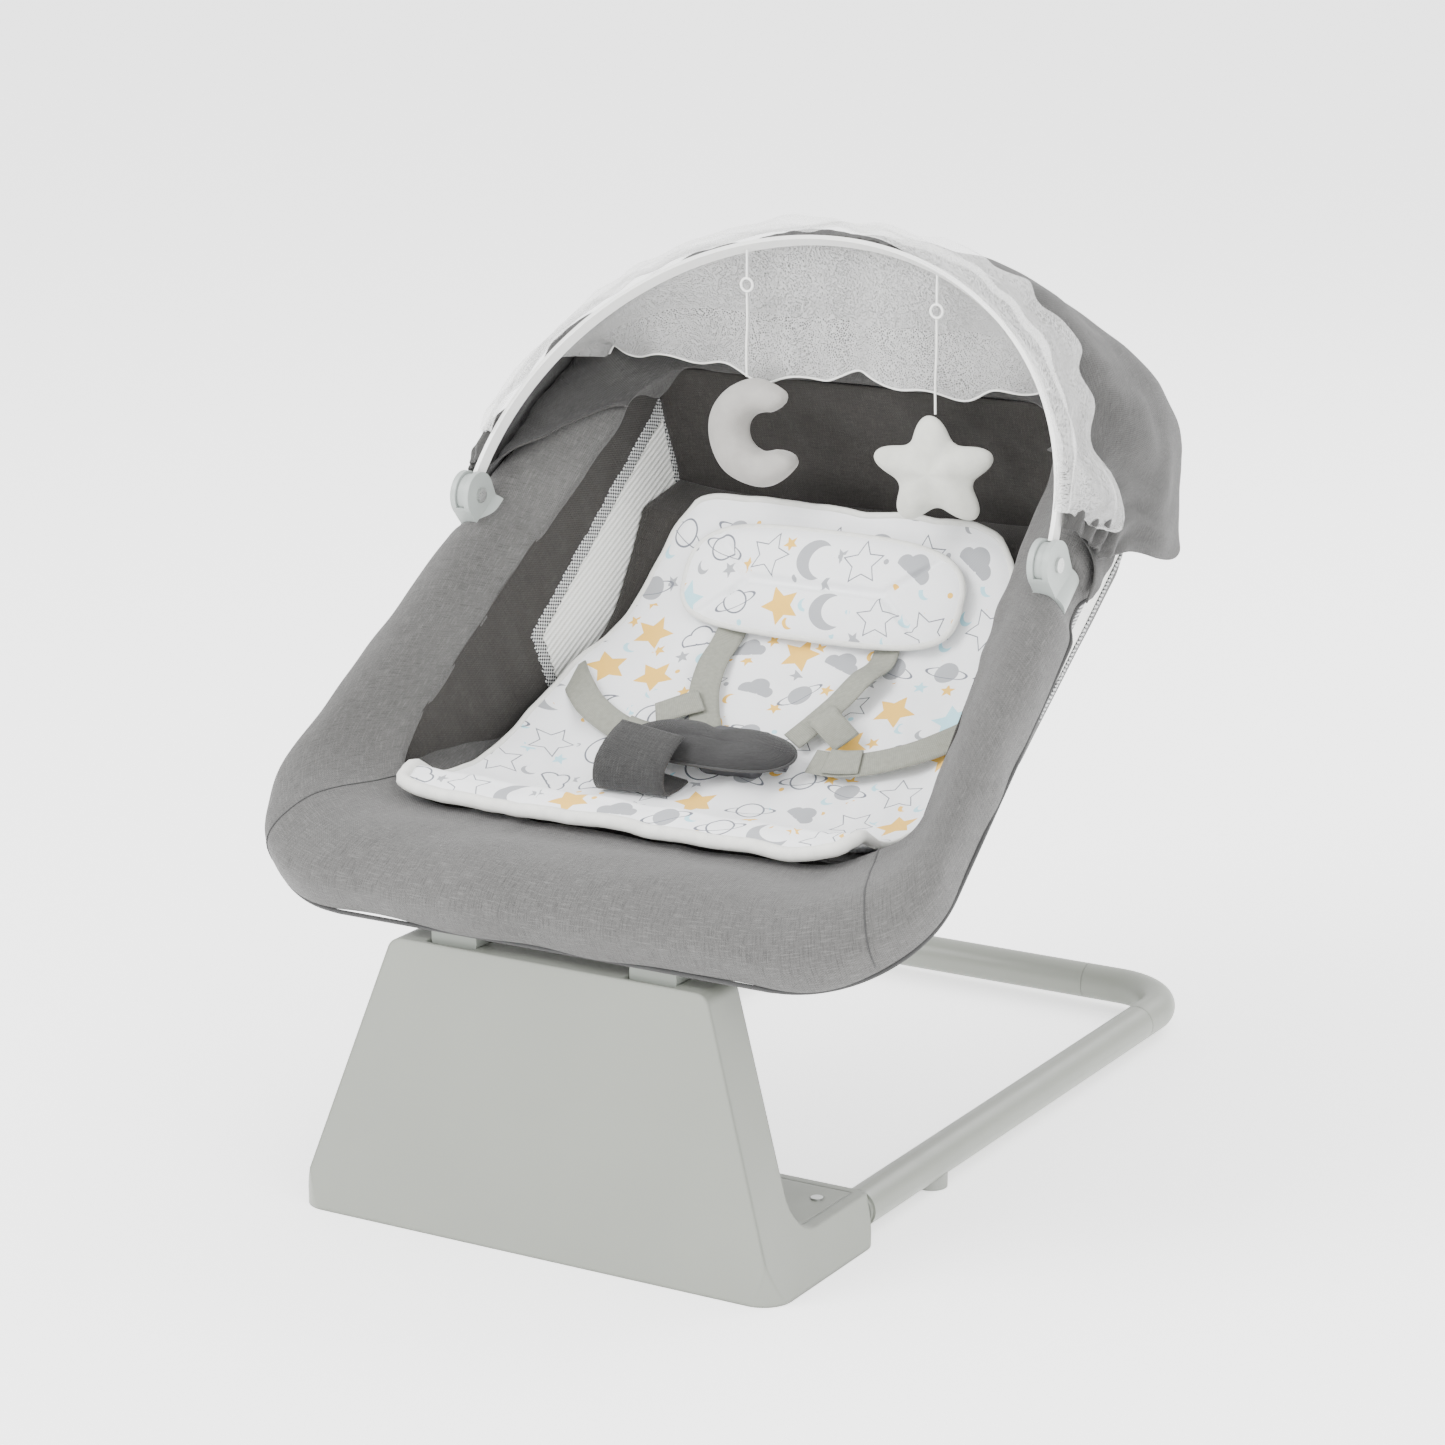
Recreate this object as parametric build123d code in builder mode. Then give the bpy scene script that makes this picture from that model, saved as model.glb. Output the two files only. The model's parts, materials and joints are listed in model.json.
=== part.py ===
from build123d import *
import math
import os

os.makedirs("parts", exist_ok=True)

# Baby bouncer seat. Millimetres, +Z up, +Y towards the head end.
# The origin is on the floor, under the wall of the pedestal's front face, on the seat's middle plane.
sides = {"left": -1, "right": 1}

# general
gap = 0.4                        # clearance left round soft pieces
play = 0.05                      # radial clearance of a running shaft

# base: pedestal
foot_half_width = 180.0          # pedestal at the floor
top_half_width = 117.0           # pedestal at its top
pedestal_height = 187.0
pedestal_lean = 21.0             # how far the front face leans back over its height
pedestal_depth = 36.0            # front to back, at the top
toe = 3.0                        # the front face starts this far forward at the floor
foot_length = 135.0              # floor plate behind the front face, with the two arms
foot_height = 31.0
foot_sweep = 24.0                # radius of the sweep from the upright to the foot
shell_wall = 3.0
head_corner = 10.0               # round of the pedestal's upper corners
foot_corner = 20.0               # round of the foot's corners, seen from above
cover_inset = 18.0               # back cover, in from the sides of the shell
cover_gap = 0.25
floor_cover_thickness = 2.5

# base: tube frame on the floor
tube_radius = 13.0
tube_wall = 1.5
tube_height = 18.0               # tube centre above the floor
tube_half_span = 162.0
rear_tube_y = 632.0
corner_radius = 48.0             # bend of the corner connectors, at the tube's centre
corner_leg = 26.0                # straight end of a connector beyond its bend
spigot_length = 22.0
foot_pad_radius = 11.0
foot_pad_y = 237.0
screw_radius = 4.0
screw_x = 147.0
screw_y = 108.0

# bounce pivot inside the pedestal's head
pivot_drop = 21.0                # axle below the pedestal's top
pivot_y = pedestal_lean * (1 - pivot_drop / pedestal_height) + pedestal_depth / 2
pivot_z = pedestal_height - pivot_drop
axle_radius = 5.0
axle_half_length = 103.0
block_x = 98.0                   # bearing blocks, from the middle
block_width = 10.0
block_height = 24.0
block_depth = 26.0
stalk_x = 74.0
stalk_width = 34.0
stalk_depth = 18.0
eye_radius = 9.0
spring_wire = 1.6
spring_radius = 7.4
spring_turns = 5
slot_play = 8.0
spring_x = 30.0
spring_pitch = 4.0

# rim: a sloping plane that holds the tube loop and its padding
rim_tilt = 33.5                  # degrees
rim_rise = 21.0                  # rim plane above the pedestal, at y = 0
rim_height = pedestal_height + rim_rise
outer_front_half = 252.0
outer_head_half = 222.0
outer_front_v = 12.0
outer_head_v = 565.0
outer_front_radius = 92.0
outer_head_radius = 78.0
inner_front_half = 196.0
inner_head_half = 163.0
inner_front_v = 128.0
inner_head_v = 515.0
inner_front_radius = 22.0
inner_head_radius = 30.0
pad_above = 12.0
pad_below = 24.0
pad_round = 9.0
rim_tube_radius = 8.0
rim_tube_wall = 1.2
rim_tube_inset = 17.0            # tube centre, in from the padding's outer edge
front_tube_inset = 34.0
joint_front_v = 170.0
joint_head_v = 440.0

# seat tub, in the rim plane's slope (v) and depth (n) directions
liner_profile = [(140, -24), (152, -46), (186, -81), (235, -98), (293, -102), (361, -103), (405, -86), (444, -64)]
liner_thickness = 13.0
liner_wide_half = 158.0
liner_top_half = 128.0
sling_gap = 0.8
sling_thickness = 3.0
sling_front = (128.0, -34.0)
wall_thickness = 2.4
wall_lean = 15.0                 # how far a wall comes in over its depth
wall_depth = 128.0
wall_edge = 3.0                  # wall, out from the padding's inner edge
window = [(500, -42), (298, -66), (304, -96), (470, -76)]
window_gap = 0.3
window_thickness = 1.2
head_wall_foot = (486.0, -92.0)   # where the head wall meets the sling
head_wall_rise = 3.0             # its top, past the padding's inner edge
sling_head = (486.4, -86.0)
sling_start = 15.0               # first sling point, on from the front edge
wall_front_reach = 6.0           # the walls go this far past the opening's ends
wall_head_reach = 4.0
wall_skirt = 8.0                 # the walls reach this far below the sling

# harness and pillow
strap_width = 20.0
strap_thickness = 1.6
strap_gap = 0.8
shoulder_x = 52.0
waist_v = 262.0
waist_outer_x = 150.0
crotch_width = 34.0
crotch_v = 188.0
buckle_v = 250.0
buckle_width = 46.0
buckle_depth = 34.0
buckle_height = 11.0
button_radius = 8.0
button_travel = 3.0
button_play = 0.3
tongue_width = 16.0
tongue_length = 20.0
tongue_thickness = 2.4
cover_pad_length = 112.0
cover_pad_depth = 46.0
cover_pad_thickness = 12.0
pillow_length = 212.0
pillow_depth = 84.0
pillow_thickness = 14.0
pillow_lift = 3.2
side_strap_v = 372.0

# canopy
hinge_v = 346.33                 # canopy hinge, up the slope of the rim and above its plane
hinge_n = 25.0
canopy_y = hinge_v * math.cos(math.radians(rim_tilt)) - hinge_n * math.sin(math.radians(rim_tilt))
canopy_z = rim_height + hinge_v * math.sin(math.radians(rim_tilt)) + hinge_n * math.cos(math.radians(rim_tilt))
hinge_x = 220.0
hoop_height = 212.0
hoop_angle = 57.0                # degrees above the floor, as parked
hoop_width = 10.0
hoop_thickness = 3.0
hub_radius = 14.0
hub_thickness = 6.0
cheek_thickness = 4.0
cheek_gap = 0.3
cheek_radius = 16.0
hinge_screw_radius = 2.5
clip_length = 28.0
clip_wall = 5.0
clip_clearance = 0.3
net_y = canopy_y + 137.0
net_top_z = canopy_z + 152.0
net_hem_z = canopy_z + 78.0
net_half_width = 150.0
net_thickness = 1.0
hood_half_width = 226.0
hood_rise = 184.0                # top of the hood's arch above the hinge
hood_thickness = 3.0

# hanging toys
toy_radius_drop = 24.0           # ring centre below the hoop
ring_radius = 4.5
ring_wire = 0.9
string_radius = 0.8
moon_x = -64.0
moon_offset = 6.5                # plush moon's middle, beside its string
moon_top = canopy_z + 79.0
moon_radius = 38.0
moon_band = 23.0
moon_opening = 105.0             # degrees left open between the horns
star_x = 84.0
star_top = canopy_z + 67.0
star_half_width = 50.0
star_half_height = 40.0
star_waist = 0.55
toy_thickness = 24.0
toy_round = 7.0

# planes and small helpers
tilt = math.radians(rim_tilt)
rim_plane = Plane(origin=(0, 0, rim_height), x_dir=(1, 0, 0), z_dir=(0, -math.sin(tilt), math.cos(tilt)))
side_plane = Plane(origin=(0, 0, rim_height), x_dir=(0, math.cos(tilt), math.sin(tilt)), z_dir=(1, 0, 0))


def rim_point(u, v, n):
    """A place on the rim: u across, v up the slope, n above the rim plane."""
    return rim_plane.from_local_coords(Vector(u, v, n))


def edge_half(v, front_half, head_half, front_v=outer_front_v, head_v=outer_head_v):
    """Half width of a side that narrows evenly up the slope."""
    return front_half + (head_half - front_half) * (v - front_v) / (head_v - front_v)


def outer_half(v):
    return edge_half(v, outer_front_half, outer_head_half)


def inner_half(v):
    return edge_half(v, inner_front_half, inner_head_half, inner_front_v, inner_head_v)


def tube_half(v):
    return outer_half(v) - rim_tube_inset


def raised(points, amount):
    """The same profile, moved along the depth direction."""
    return [(v, n + amount) for v, n in points]


def profile_at(points, v):
    """Depth of a profile at one place on the slope."""
    for (v0, n0), (v1, n1) in zip(points, points[1:]):
        if v0 <= v <= v1:
            return n0 + (n1 - n0) * (v - v0) / (v1 - v0)
    return points[-1][1]


def band(lower, upper):
    """A closed outline between two profiles that run the same way."""
    return lower + upper[::-1]


# ---------------------------------------------------------------- base
# The upright and the foot are one outline seen from the side, narrowed to a trapezium from the front.
def pedestal_side(inset):
    """Side outline of the pedestal: front face, head, back and foot, moved in by a wall."""
    lean = pedestal_lean / pedestal_height
    top = pedestal_height - inset
    back_foot = pedestal_depth + lean * foot_height
    return [
        (inset, -1) if inset else (-toe, 0),
        (inset + lean * top, top),
        (pedestal_depth - inset + lean * top, top),
        (back_foot - inset, foot_height - inset),
        (foot_length - inset, foot_height - inset),
        (foot_length - inset, 0 if inset == 0 else -1),
    ]


def pedestal_front(inset):
    """Front outline of the pedestal: a trapezium, narrower at the top."""
    slope = (foot_half_width - top_half_width) / pedestal_height
    low = foot_half_width - inset
    top = foot_half_width - slope * pedestal_height - inset
    bottom = -2 if inset else 0
    return [(-low, bottom), (low, bottom), (top, pedestal_height - inset), (-top, pedestal_height - inset)]


back_corner = (pedestal_depth + pedestal_lean / pedestal_height * foot_height, foot_height)
with BuildPart() as pedestal_outer:
    with BuildSketch(Plane.YZ):
        with BuildLine():
            Polyline(*pedestal_side(0), close=True)
        make_face()
        fillet(vertices().sort_by_distance(back_corner)[0], radius=foot_sweep)
    extrude(amount=foot_half_width, both=True)
    with BuildSketch(Plane.XZ.offset(-foot_length)):
        with BuildLine():
            Polyline(*pedestal_front(0), close=True)
        make_face()
        fillet(vertices().group_by(Axis.Y)[-1], radius=head_corner)
    extrude(amount=foot_length + toe, mode=Mode.INTERSECT)
    # the foot's corners are round, seen from above
    with BuildSketch(Plane.XY):
        with Locations((0, (foot_length - toe) / 2)):
            RectangleRounded(2 * foot_half_width, foot_length + toe, foot_corner)
    extrude(amount=pedestal_height, mode=Mode.INTERSECT)

with BuildPart() as pedestal_inner:
    with BuildSketch(Plane.YZ):
        with BuildLine():
            Polyline(*pedestal_side(shell_wall), close=True)
        make_face()
        fillet(vertices().sort_by_distance(back_corner)[0], radius=foot_sweep)
    extrude(amount=foot_half_width, both=True)
    with BuildSketch(Plane.XZ.offset(-foot_length)):
        with BuildLine():
            Polyline(*pedestal_front(shell_wall), close=True)
        make_face()
        fillet(vertices().group_by(Axis.Y)[-1], radius=head_corner - shell_wall)
    extrude(amount=foot_length, mode=Mode.INTERSECT)
    with BuildSketch(Plane.XY.offset(-2)):
        with Locations((0, (foot_length - toe) / 2)):
            RectangleRounded(
                2 * (foot_half_width - shell_wall),
                foot_length + toe - 2 * shell_wall,
                foot_corner - shell_wall,
            )
    extrude(amount=pedestal_height + 2, mode=Mode.INTERSECT)

# The back cover closes the upright from behind and the foot from above, inside the shell's edges.
def cover_outline(shrink):
    """Back outline of the cover, in from the pedestal's sides and top."""
    slope = (foot_half_width - top_half_width) / pedestal_height
    low = foot_half_width - cover_inset - shrink
    top_z = pedestal_height - shell_wall - 1 - shrink
    low_z = foot_height - shell_wall - 1 + shrink
    top = low - slope * (top_z - low_z)
    return [(-low, low_z), (low, low_z), (top, top_z), (-top, top_z)]


def cover_block(shrink):
    """The space behind the pedestal's mid plane that the cover takes from the shell."""
    with BuildPart() as block:
        with BuildSketch(Plane.XZ.offset(-foot_length + shell_wall + 4 + shrink)):
            with BuildLine():
                Polyline(*cover_outline(shrink), close=True)
            make_face()
        extrude(amount=foot_length - pedestal_depth / 2 - shell_wall - 4 - pedestal_lean / 2 - 4)
    return block.part


with BuildPart() as pedestal_shell:
    add(pedestal_outer.part)
    add(pedestal_inner.part, mode=Mode.SUBTRACT)
    add(cover_block(0), mode=Mode.SUBTRACT)
    # slots for the seat stalks
    with Locations((stalk_x, pivot_y, pedestal_height), (-stalk_x, pivot_y, pedestal_height)):
        Box(stalk_width + 2, stalk_depth + slot_play, 30, mode=Mode.SUBTRACT)
    # spigots that the side tubes slide over
    with BuildSketch(Plane.XZ.offset(-foot_length + shell_wall)):
        with Locations((tube_half_span, tube_height), (-tube_half_span, tube_height)):
            Circle(tube_radius - tube_wall - play)
    extrude(amount=-spigot_length - shell_wall)
pedestal_shell.part.label = "pedestal_shell"
export_step(pedestal_shell.part, "parts/pedestal_shell.step")

with BuildPart() as pedestal_back_cover:
    add(pedestal_outer.part)
    add(pedestal_inner.part, mode=Mode.SUBTRACT)
    add(cover_block(cover_gap), mode=Mode.INTERSECT)
    with Locations((stalk_x, pivot_y, pedestal_height), (-stalk_x, pivot_y, pedestal_height)):
        Box(stalk_width + 2, stalk_depth + slot_play, 30, mode=Mode.SUBTRACT)
    with Locations((screw_x, screw_y, foot_height), (-screw_x, screw_y, foot_height)):
        Cylinder(screw_radius + 0.1, 20, mode=Mode.SUBTRACT)
pedestal_back_cover.part.label = "pedestal_back_cover"
export_step(pedestal_back_cover.part, "parts/pedestal_back_cover.step")

with BuildPart() as base_screws:
    for side in sides.values():
        with BuildSketch(Plane.XY.offset(foot_height - shell_wall - 4)):
            with Locations((side * screw_x, screw_y)):
                Circle(screw_radius)
        extrude(amount=shell_wall + 5)
base_screws.part.label = "base_screws"
export_step(base_screws.part, "parts/base_screws.step")

with BuildPart() as pedestal_floor_cover:
    with BuildSketch(Plane.XY):
        with Locations((0, foot_length / 2 + 2)):
            RectangleRounded(2 * (foot_half_width - shell_wall - 8), foot_length - 2 * shell_wall - 6, foot_corner - 8)
    extrude(amount=floor_cover_thickness)
pedestal_floor_cover.part.label = "pedestal_floor_cover"
export_step(pedestal_floor_cover.part, "parts/pedestal_floor_cover.step")


def swept_rod(points, radius, bend=None):
    """A round rod along straight runs joined by tangent arcs."""
    with BuildPart() as rod:
        with BuildLine() as path:
            if bend:
                FilletPolyline(*points, radius=bend)
            else:
                Polyline(*points)
        start = path.line @ 0
        with BuildSketch(Plane(origin=start, z_dir=path.line % 0)):
            Circle(radius)
        sweep(path=path.line)
    return rod.part


tube_start = foot_length + 0.2
bend_y = rear_tube_y - corner_radius - corner_leg
bend_x = tube_half_span - corner_radius - corner_leg
for name, side in sides.items():
    run = [(side * tube_half_span, tube_start, tube_height), (side * tube_half_span, bend_y - 0.2, tube_height)]
    with BuildPart() as side_tube:
        add(swept_rod(run, tube_radius))
        add(swept_rod(run, tube_radius - tube_wall), mode=Mode.SUBTRACT)
    side_tube.part.label = f"side_tube_{name}"
    export_step(side_tube.part, f"parts/side_tube_{name}.step")

    corner = (side * tube_half_span, rear_tube_y, tube_height)
    bend_run = [(side * tube_half_span, bend_y, tube_height), corner, (side * bend_x, rear_tube_y, tube_height)]
    reach = bend_y - spigot_length
    inner_x = bend_x - spigot_length
    spigot_run = [(side * tube_half_span, reach, tube_height), corner, (side * inner_x, rear_tube_y, tube_height)]
    with BuildPart() as corner_connector:
        add(swept_rod(bend_run, tube_radius, corner_radius))
        add(swept_rod(spigot_run, tube_radius - tube_wall - play, corner_radius))
        with BuildSketch(Plane.XY):
            with Locations((side * (tube_half_span - 14), rear_tube_y - 14)):
                Circle(foot_pad_radius - 2)
        extrude(amount=tube_height)
        add(swept_rod(spigot_run, tube_radius - tube_wall - play - 3, corner_radius), mode=Mode.SUBTRACT)
    corner_connector.part.label = f"corner_connector_{name}"
    export_step(corner_connector.part, f"parts/corner_connector_{name}.step")

rear_run = [(-bend_x + 0.2, rear_tube_y, tube_height), (bend_x - 0.2, rear_tube_y, tube_height)]
with BuildPart() as rear_tube:
    add(swept_rod(rear_run, tube_radius))
    add(swept_rod(rear_run, tube_radius - tube_wall), mode=Mode.SUBTRACT)
rear_tube.part.label = "rear_tube"
export_step(rear_tube.part, "parts/rear_tube.step")

with BuildPart() as tube_feet:
    with BuildSketch(Plane.XY):
        with Locations((tube_half_span, foot_pad_y), (-tube_half_span, foot_pad_y)):
            Circle(foot_pad_radius)
    extrude(amount=tube_height - 4)
    with BuildSketch(Plane.XZ.offset(-foot_pad_y + 20)):
        with Locations((tube_half_span, tube_height), (-tube_half_span, tube_height)):
            Circle(tube_radius + 0.1)
    extrude(amount=-40, mode=Mode.SUBTRACT)
tube_feet.part.label = "tube_feet"
export_step(tube_feet.part, "parts/tube_feet.step")

# ---------------------------------------------------------------- bounce pivot
with BuildPart() as bearing_blocks:
    with Locations((block_x, pivot_y, pivot_z), (-block_x, pivot_y, pivot_z)):
        Box(block_width, block_depth, block_height)
    with Locations(Location((0, pivot_y, pivot_z), (0, 90, 0))):
        Cylinder(axle_radius + play, 3 * axle_half_length, mode=Mode.SUBTRACT)
bearing_blocks.part.label = "bearing_blocks"
export_step(bearing_blocks.part, "parts/bearing_blocks.step")

with BuildPart() as pivot_axle:
    with Locations(Location((0, pivot_y, pivot_z), (0, 90, 0))):
        Cylinder(axle_radius, 2 * axle_half_length)
pivot_axle.part.label = "pivot_axle"
export_step(pivot_axle.part, "parts/pivot_axle.step")

with BuildPart() as spring_coil:
    with BuildLine() as coil:
        Helix(pitch=spring_pitch, height=spring_pitch * spring_turns, radius=spring_radius)
    with BuildSketch(Plane(origin=coil.line @ 0, z_dir=coil.line % 0)):
        Circle(spring_wire / 2)
    sweep(path=coil.line, is_frenet=True)

with BuildPart() as bounce_springs:
    for side in sides.values():
        start = Location((side * spring_x, pivot_y, pivot_z), (0, 90 * side, 0))
        with Locations(start):
            add(spring_coil.part)
bounce_springs.part.label = "bounce_springs"
export_step(bounce_springs.part, "parts/bounce_springs.step")

front_tube_v = outer_front_v + front_tube_inset
head_tube_v = outer_head_v - rim_tube_inset
front_tube = rim_point(0, front_tube_v, 0)
for name, side in sides.items():
    with BuildPart() as seat_stalk:
        with Locations(Location((side * stalk_x, pivot_y, pivot_z), (0, 90, 0))):
            Cylinder(eye_radius, stalk_width)
        with BuildSketch(Plane.XY.offset(pivot_z)):
            with Locations((side * stalk_x, (pivot_y + front_tube.Y) / 2)):
                Rectangle(stalk_width, stalk_depth)
        extrude(amount=front_tube.Z - pivot_z)
        with Locations(Location((side * stalk_x, pivot_y, pivot_z), (0, 90, 0))):
            Cylinder(axle_radius, 2 * stalk_width, mode=Mode.SUBTRACT)
        with Locations(Location((side * stalk_x, front_tube.Y, front_tube.Z), (0, 90, 0))):
            Cylinder(rim_tube_radius + 0.1, 2 * stalk_width, mode=Mode.SUBTRACT)
    seat_stalk.part.label = f"seat_stalk_{name}"
    export_step(seat_stalk.part, f"parts/seat_stalk_{name}.step")

# ---------------------------------------------------------------- rim tubes
front_bend = outer_front_radius - 22
head_bend = outer_head_radius - rim_tube_inset


def rim_run(front, head, side=0):
    """Corner points of a rim tube: a straight side, or a U round the front or the head."""
    if side:
        return [rim_point(side * tube_half(v), v, 0) for v in (front, head)]
    end_v, turn_v = front, head
    corners = [(-tube_half(end_v), end_v), (-tube_half(turn_v), turn_v)]
    corners += [(tube_half(turn_v), turn_v), (tube_half(end_v), end_v)]
    return [rim_point(u, v, 0) for u, v in corners]


rim_tubes = {
    "rim_tube_front": (rim_run(joint_front_v, front_tube_v), front_bend),
    "rim_tube_head": (rim_run(joint_head_v, head_tube_v), head_bend),
    "rim_tube_left": (rim_run(joint_front_v + 0.3, joint_head_v - 0.3, -1), None),
    "rim_tube_right": (rim_run(joint_front_v + 0.3, joint_head_v - 0.3, 1), None),
}
for name, (run, bend) in rim_tubes.items():
    with BuildPart() as rim_tube:
        add(swept_rod(run, rim_tube_radius, bend))
        add(swept_rod(run, rim_tube_radius - rim_tube_wall, bend), mode=Mode.SUBTRACT)
    rim_tube.part.label = name
    export_step(rim_tube.part, f"parts/{name}.step")

# ---------------------------------------------------------------- rim padding
clip_local = rim_plane.to_local_coords(Vector(0, canopy_y, canopy_z))
clip_v = clip_local.Y
clip_n = clip_local.Z
tube_slope = (rim_point(tube_half(joint_head_v), joint_head_v, 0) - rim_point(tube_half(joint_front_v), joint_front_v, 0))


def clip_plane(side):
    """Plane across the side tube where the canopy clip sits, its x along the rim's normal."""
    away = Vector(side * tube_slope.X, tube_slope.Y, tube_slope.Z)
    return Plane(origin=rim_point(side * tube_half(clip_v), clip_v, 0), x_dir=rim_plane.z_dir, z_dir=away)


def rim_outline(front, head, front_v, head_v):
    """Corner points of a loop that narrows towards the head."""
    return [(-front, front_v), (front, front_v), (head, head_v), (-head, head_v)]


with BuildPart() as rim_ring:
    with BuildSketch(rim_plane.offset(-pad_below)):
        with BuildLine():
            Polyline(*rim_outline(outer_front_half, outer_head_half, outer_front_v, outer_head_v), close=True)
        make_face()
        fillet(vertices().group_by(Axis.Y)[0], radius=outer_front_radius)
        fillet(vertices().group_by(Axis.Y)[-1], radius=outer_head_radius)
    extrude(amount=pad_below + pad_above)
    with BuildSketch(rim_plane.offset(-pad_below)):
        with BuildLine():
            Polyline(*rim_outline(inner_front_half, inner_head_half, inner_front_v, inner_head_v), close=True)
        make_face()
        fillet(vertices().group_by(Axis.Y)[0], radius=inner_front_radius)
        fillet(vertices().group_by(Axis.Y)[-1], radius=inner_head_radius)
    extrude(amount=pad_below + pad_above, mode=Mode.SUBTRACT)
    fillet(faces().sort_by(Axis((0, 0, 0), rim_plane.z_dir))[-1].edges(), radius=pad_round)
    for run, bend in rim_tubes.values():
        add(swept_rod(run, rim_tube_radius + clip_clearance, bend), mode=Mode.SUBTRACT)
    for side in sides.values():
        with BuildSketch(clip_plane(side).offset(-clip_length / 2 - 1)):
            Circle(rim_tube_radius + clip_wall + 2 * clip_clearance)
            with Locations((40, 0)):
                Rectangle(80, 26)
        extrude(amount=clip_length + 2, mode=Mode.SUBTRACT)
        with Locations((side * stalk_x, front_tube.Y, front_tube.Z - 20)):
            Box(stalk_width + 2, stalk_depth + 2, 40, mode=Mode.SUBTRACT)

mitre = 1.6                      # the mitre lines run from the inner corners through the outer ones


def mitre_end(u, v, outer_u, outer_v):
    return (u + mitre * (outer_u - u), v + mitre * (outer_v - v))


front_out = mitre_end(inner_front_half, inner_front_v, outer_front_half, outer_front_v)
head_out = mitre_end(inner_head_half, inner_head_v, outer_head_half, outer_head_v)
front_in = (inner_front_half - 30, inner_front_v + 62)
head_in = (inner_head_half - 35, inner_head_v - 30)


def across(point):
    return (-point[0], point[1])


pad_areas = {
    "rim_pad_front": [front_in, front_out, across(front_out), across(front_in)],
    "rim_pad_right": [front_in, front_out, head_out, head_in],
    "rim_pad_left": [across(p) for p in (front_in, front_out, head_out, head_in)],
    "rim_pad_head": [head_in, head_out, across(head_out), across(head_in)],
}
for name, outline in pad_areas.items():
    with BuildPart() as rim_pad:
        add(rim_ring.part)
        with BuildSketch(rim_plane.offset(-pad_below - 10)):
            with BuildLine():
                Polyline(*outline, close=True)
            make_face()
        extrude(amount=pad_below + pad_above + 20, mode=Mode.INTERSECT)
    rim_pad.part.label = name
    export_step(rim_pad.part, f"parts/{name}.step")

# ---------------------------------------------------------------- seat tub
sling_top = raised(liner_profile, -liner_thickness - sling_gap)
sling_line = [sling_front] + [p for p in sling_top if p[0] > sling_front[0] + sling_start] + [sling_head]
wall_top = -pad_below - gap


def wall_x(v, n):
    """Middle of a side wall, which leans in as it goes down."""
    return inner_half(v) + wall_edge - wall_lean * (wall_top - n) / wall_depth


def wall_plane(side):
    """Plane of a side wall: x up the slope from the front corner, y down into the tub."""
    first = rim_point(side * wall_x(inner_front_v, wall_top), inner_front_v, wall_top)
    last = rim_point(side * wall_x(inner_head_v, wall_top), inner_head_v, wall_top)
    along = last - first
    down = rim_point(-side * wall_lean, 0, -wall_depth) - rim_point(0, 0, 0)
    return Plane(origin=first, x_dir=along, z_dir=along.cross(down))


def on_wall(points):
    """Slope and depth values as the wall plane's own x and y."""
    return [(v - inner_front_v, wall_top - n) for v, n in points]


def shrunk(points, amount):
    """A convex outline with its corners moved towards the middle."""
    middle = (sum(p[0] for p in points) / len(points), sum(p[1] for p in points) / len(points))
    moved = []
    for p in points:
        reach = math.dist(p, middle)
        factor = 1 - amount / reach
        moved.append((middle[0] + (p[0] - middle[0]) * factor, middle[1] + (p[1] - middle[1]) * factor))
    return moved


wall_low = raised(sling_line, -sling_thickness - wall_skirt)
wall_high_front = (inner_front_v - wall_front_reach, wall_top)
wall_high_head = (inner_head_v + wall_head_reach, wall_top)
wall_outline = [wall_high_front] + wall_low + [wall_high_head]
for name, side in sides.items():
    with BuildPart() as side_wall:
        with BuildSketch(wall_plane(side)):
            with BuildLine():
                Polyline(*on_wall(wall_outline), close=True)
            make_face()
            with BuildLine():
                Polyline(*on_wall(window), close=True)
            make_face(mode=Mode.SUBTRACT)
        extrude(amount=wall_thickness / 2, both=True)
    side_wall.part.label = f"side_wall_{name}"
    export_step(side_wall.part, f"parts/side_wall_{name}.step")

    with BuildPart() as mesh_window:
        with BuildSketch(wall_plane(side)):
            with BuildLine():
                Polyline(*on_wall(shrunk(window, window_gap)), close=True)
            make_face()
        extrude(amount=window_thickness / 2, both=True)
    mesh_window.part.label = f"mesh_window_{name}"
    export_step(mesh_window.part, f"parts/mesh_window_{name}.step")

sling_margin = wall_thickness / 2 + gap
sling_low_n = min(n for v, n in sling_line) - sling_thickness


def tub_outline(v0, v1, margin=0.0):
    """Plan of a panel that fits between the side walls at their lowest."""
    low = wall_x(v0, sling_low_n) - sling_margin - margin
    high = wall_x(v1, sling_low_n) - sling_margin - margin
    return [(-low, v0), (low, v0), (high, v1), (-high, v1)]


with BuildPart() as seat_sling:
    with BuildSketch(side_plane):
        with BuildLine():
            Polyline(*band(raised(sling_line, -sling_thickness), sling_line), close=True)
        make_face()
    extrude(amount=outer_front_half, both=True)
    with BuildSketch(rim_plane.offset(-200)):
        with BuildLine():
            Polyline(*tub_outline(sling_line[0][0], sling_line[-1][0]), close=True)
        make_face()
    extrude(amount=300, mode=Mode.INTERSECT)
seat_sling.part.label = "seat_sling"
export_step(seat_sling.part, "parts/seat_sling.step")

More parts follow.
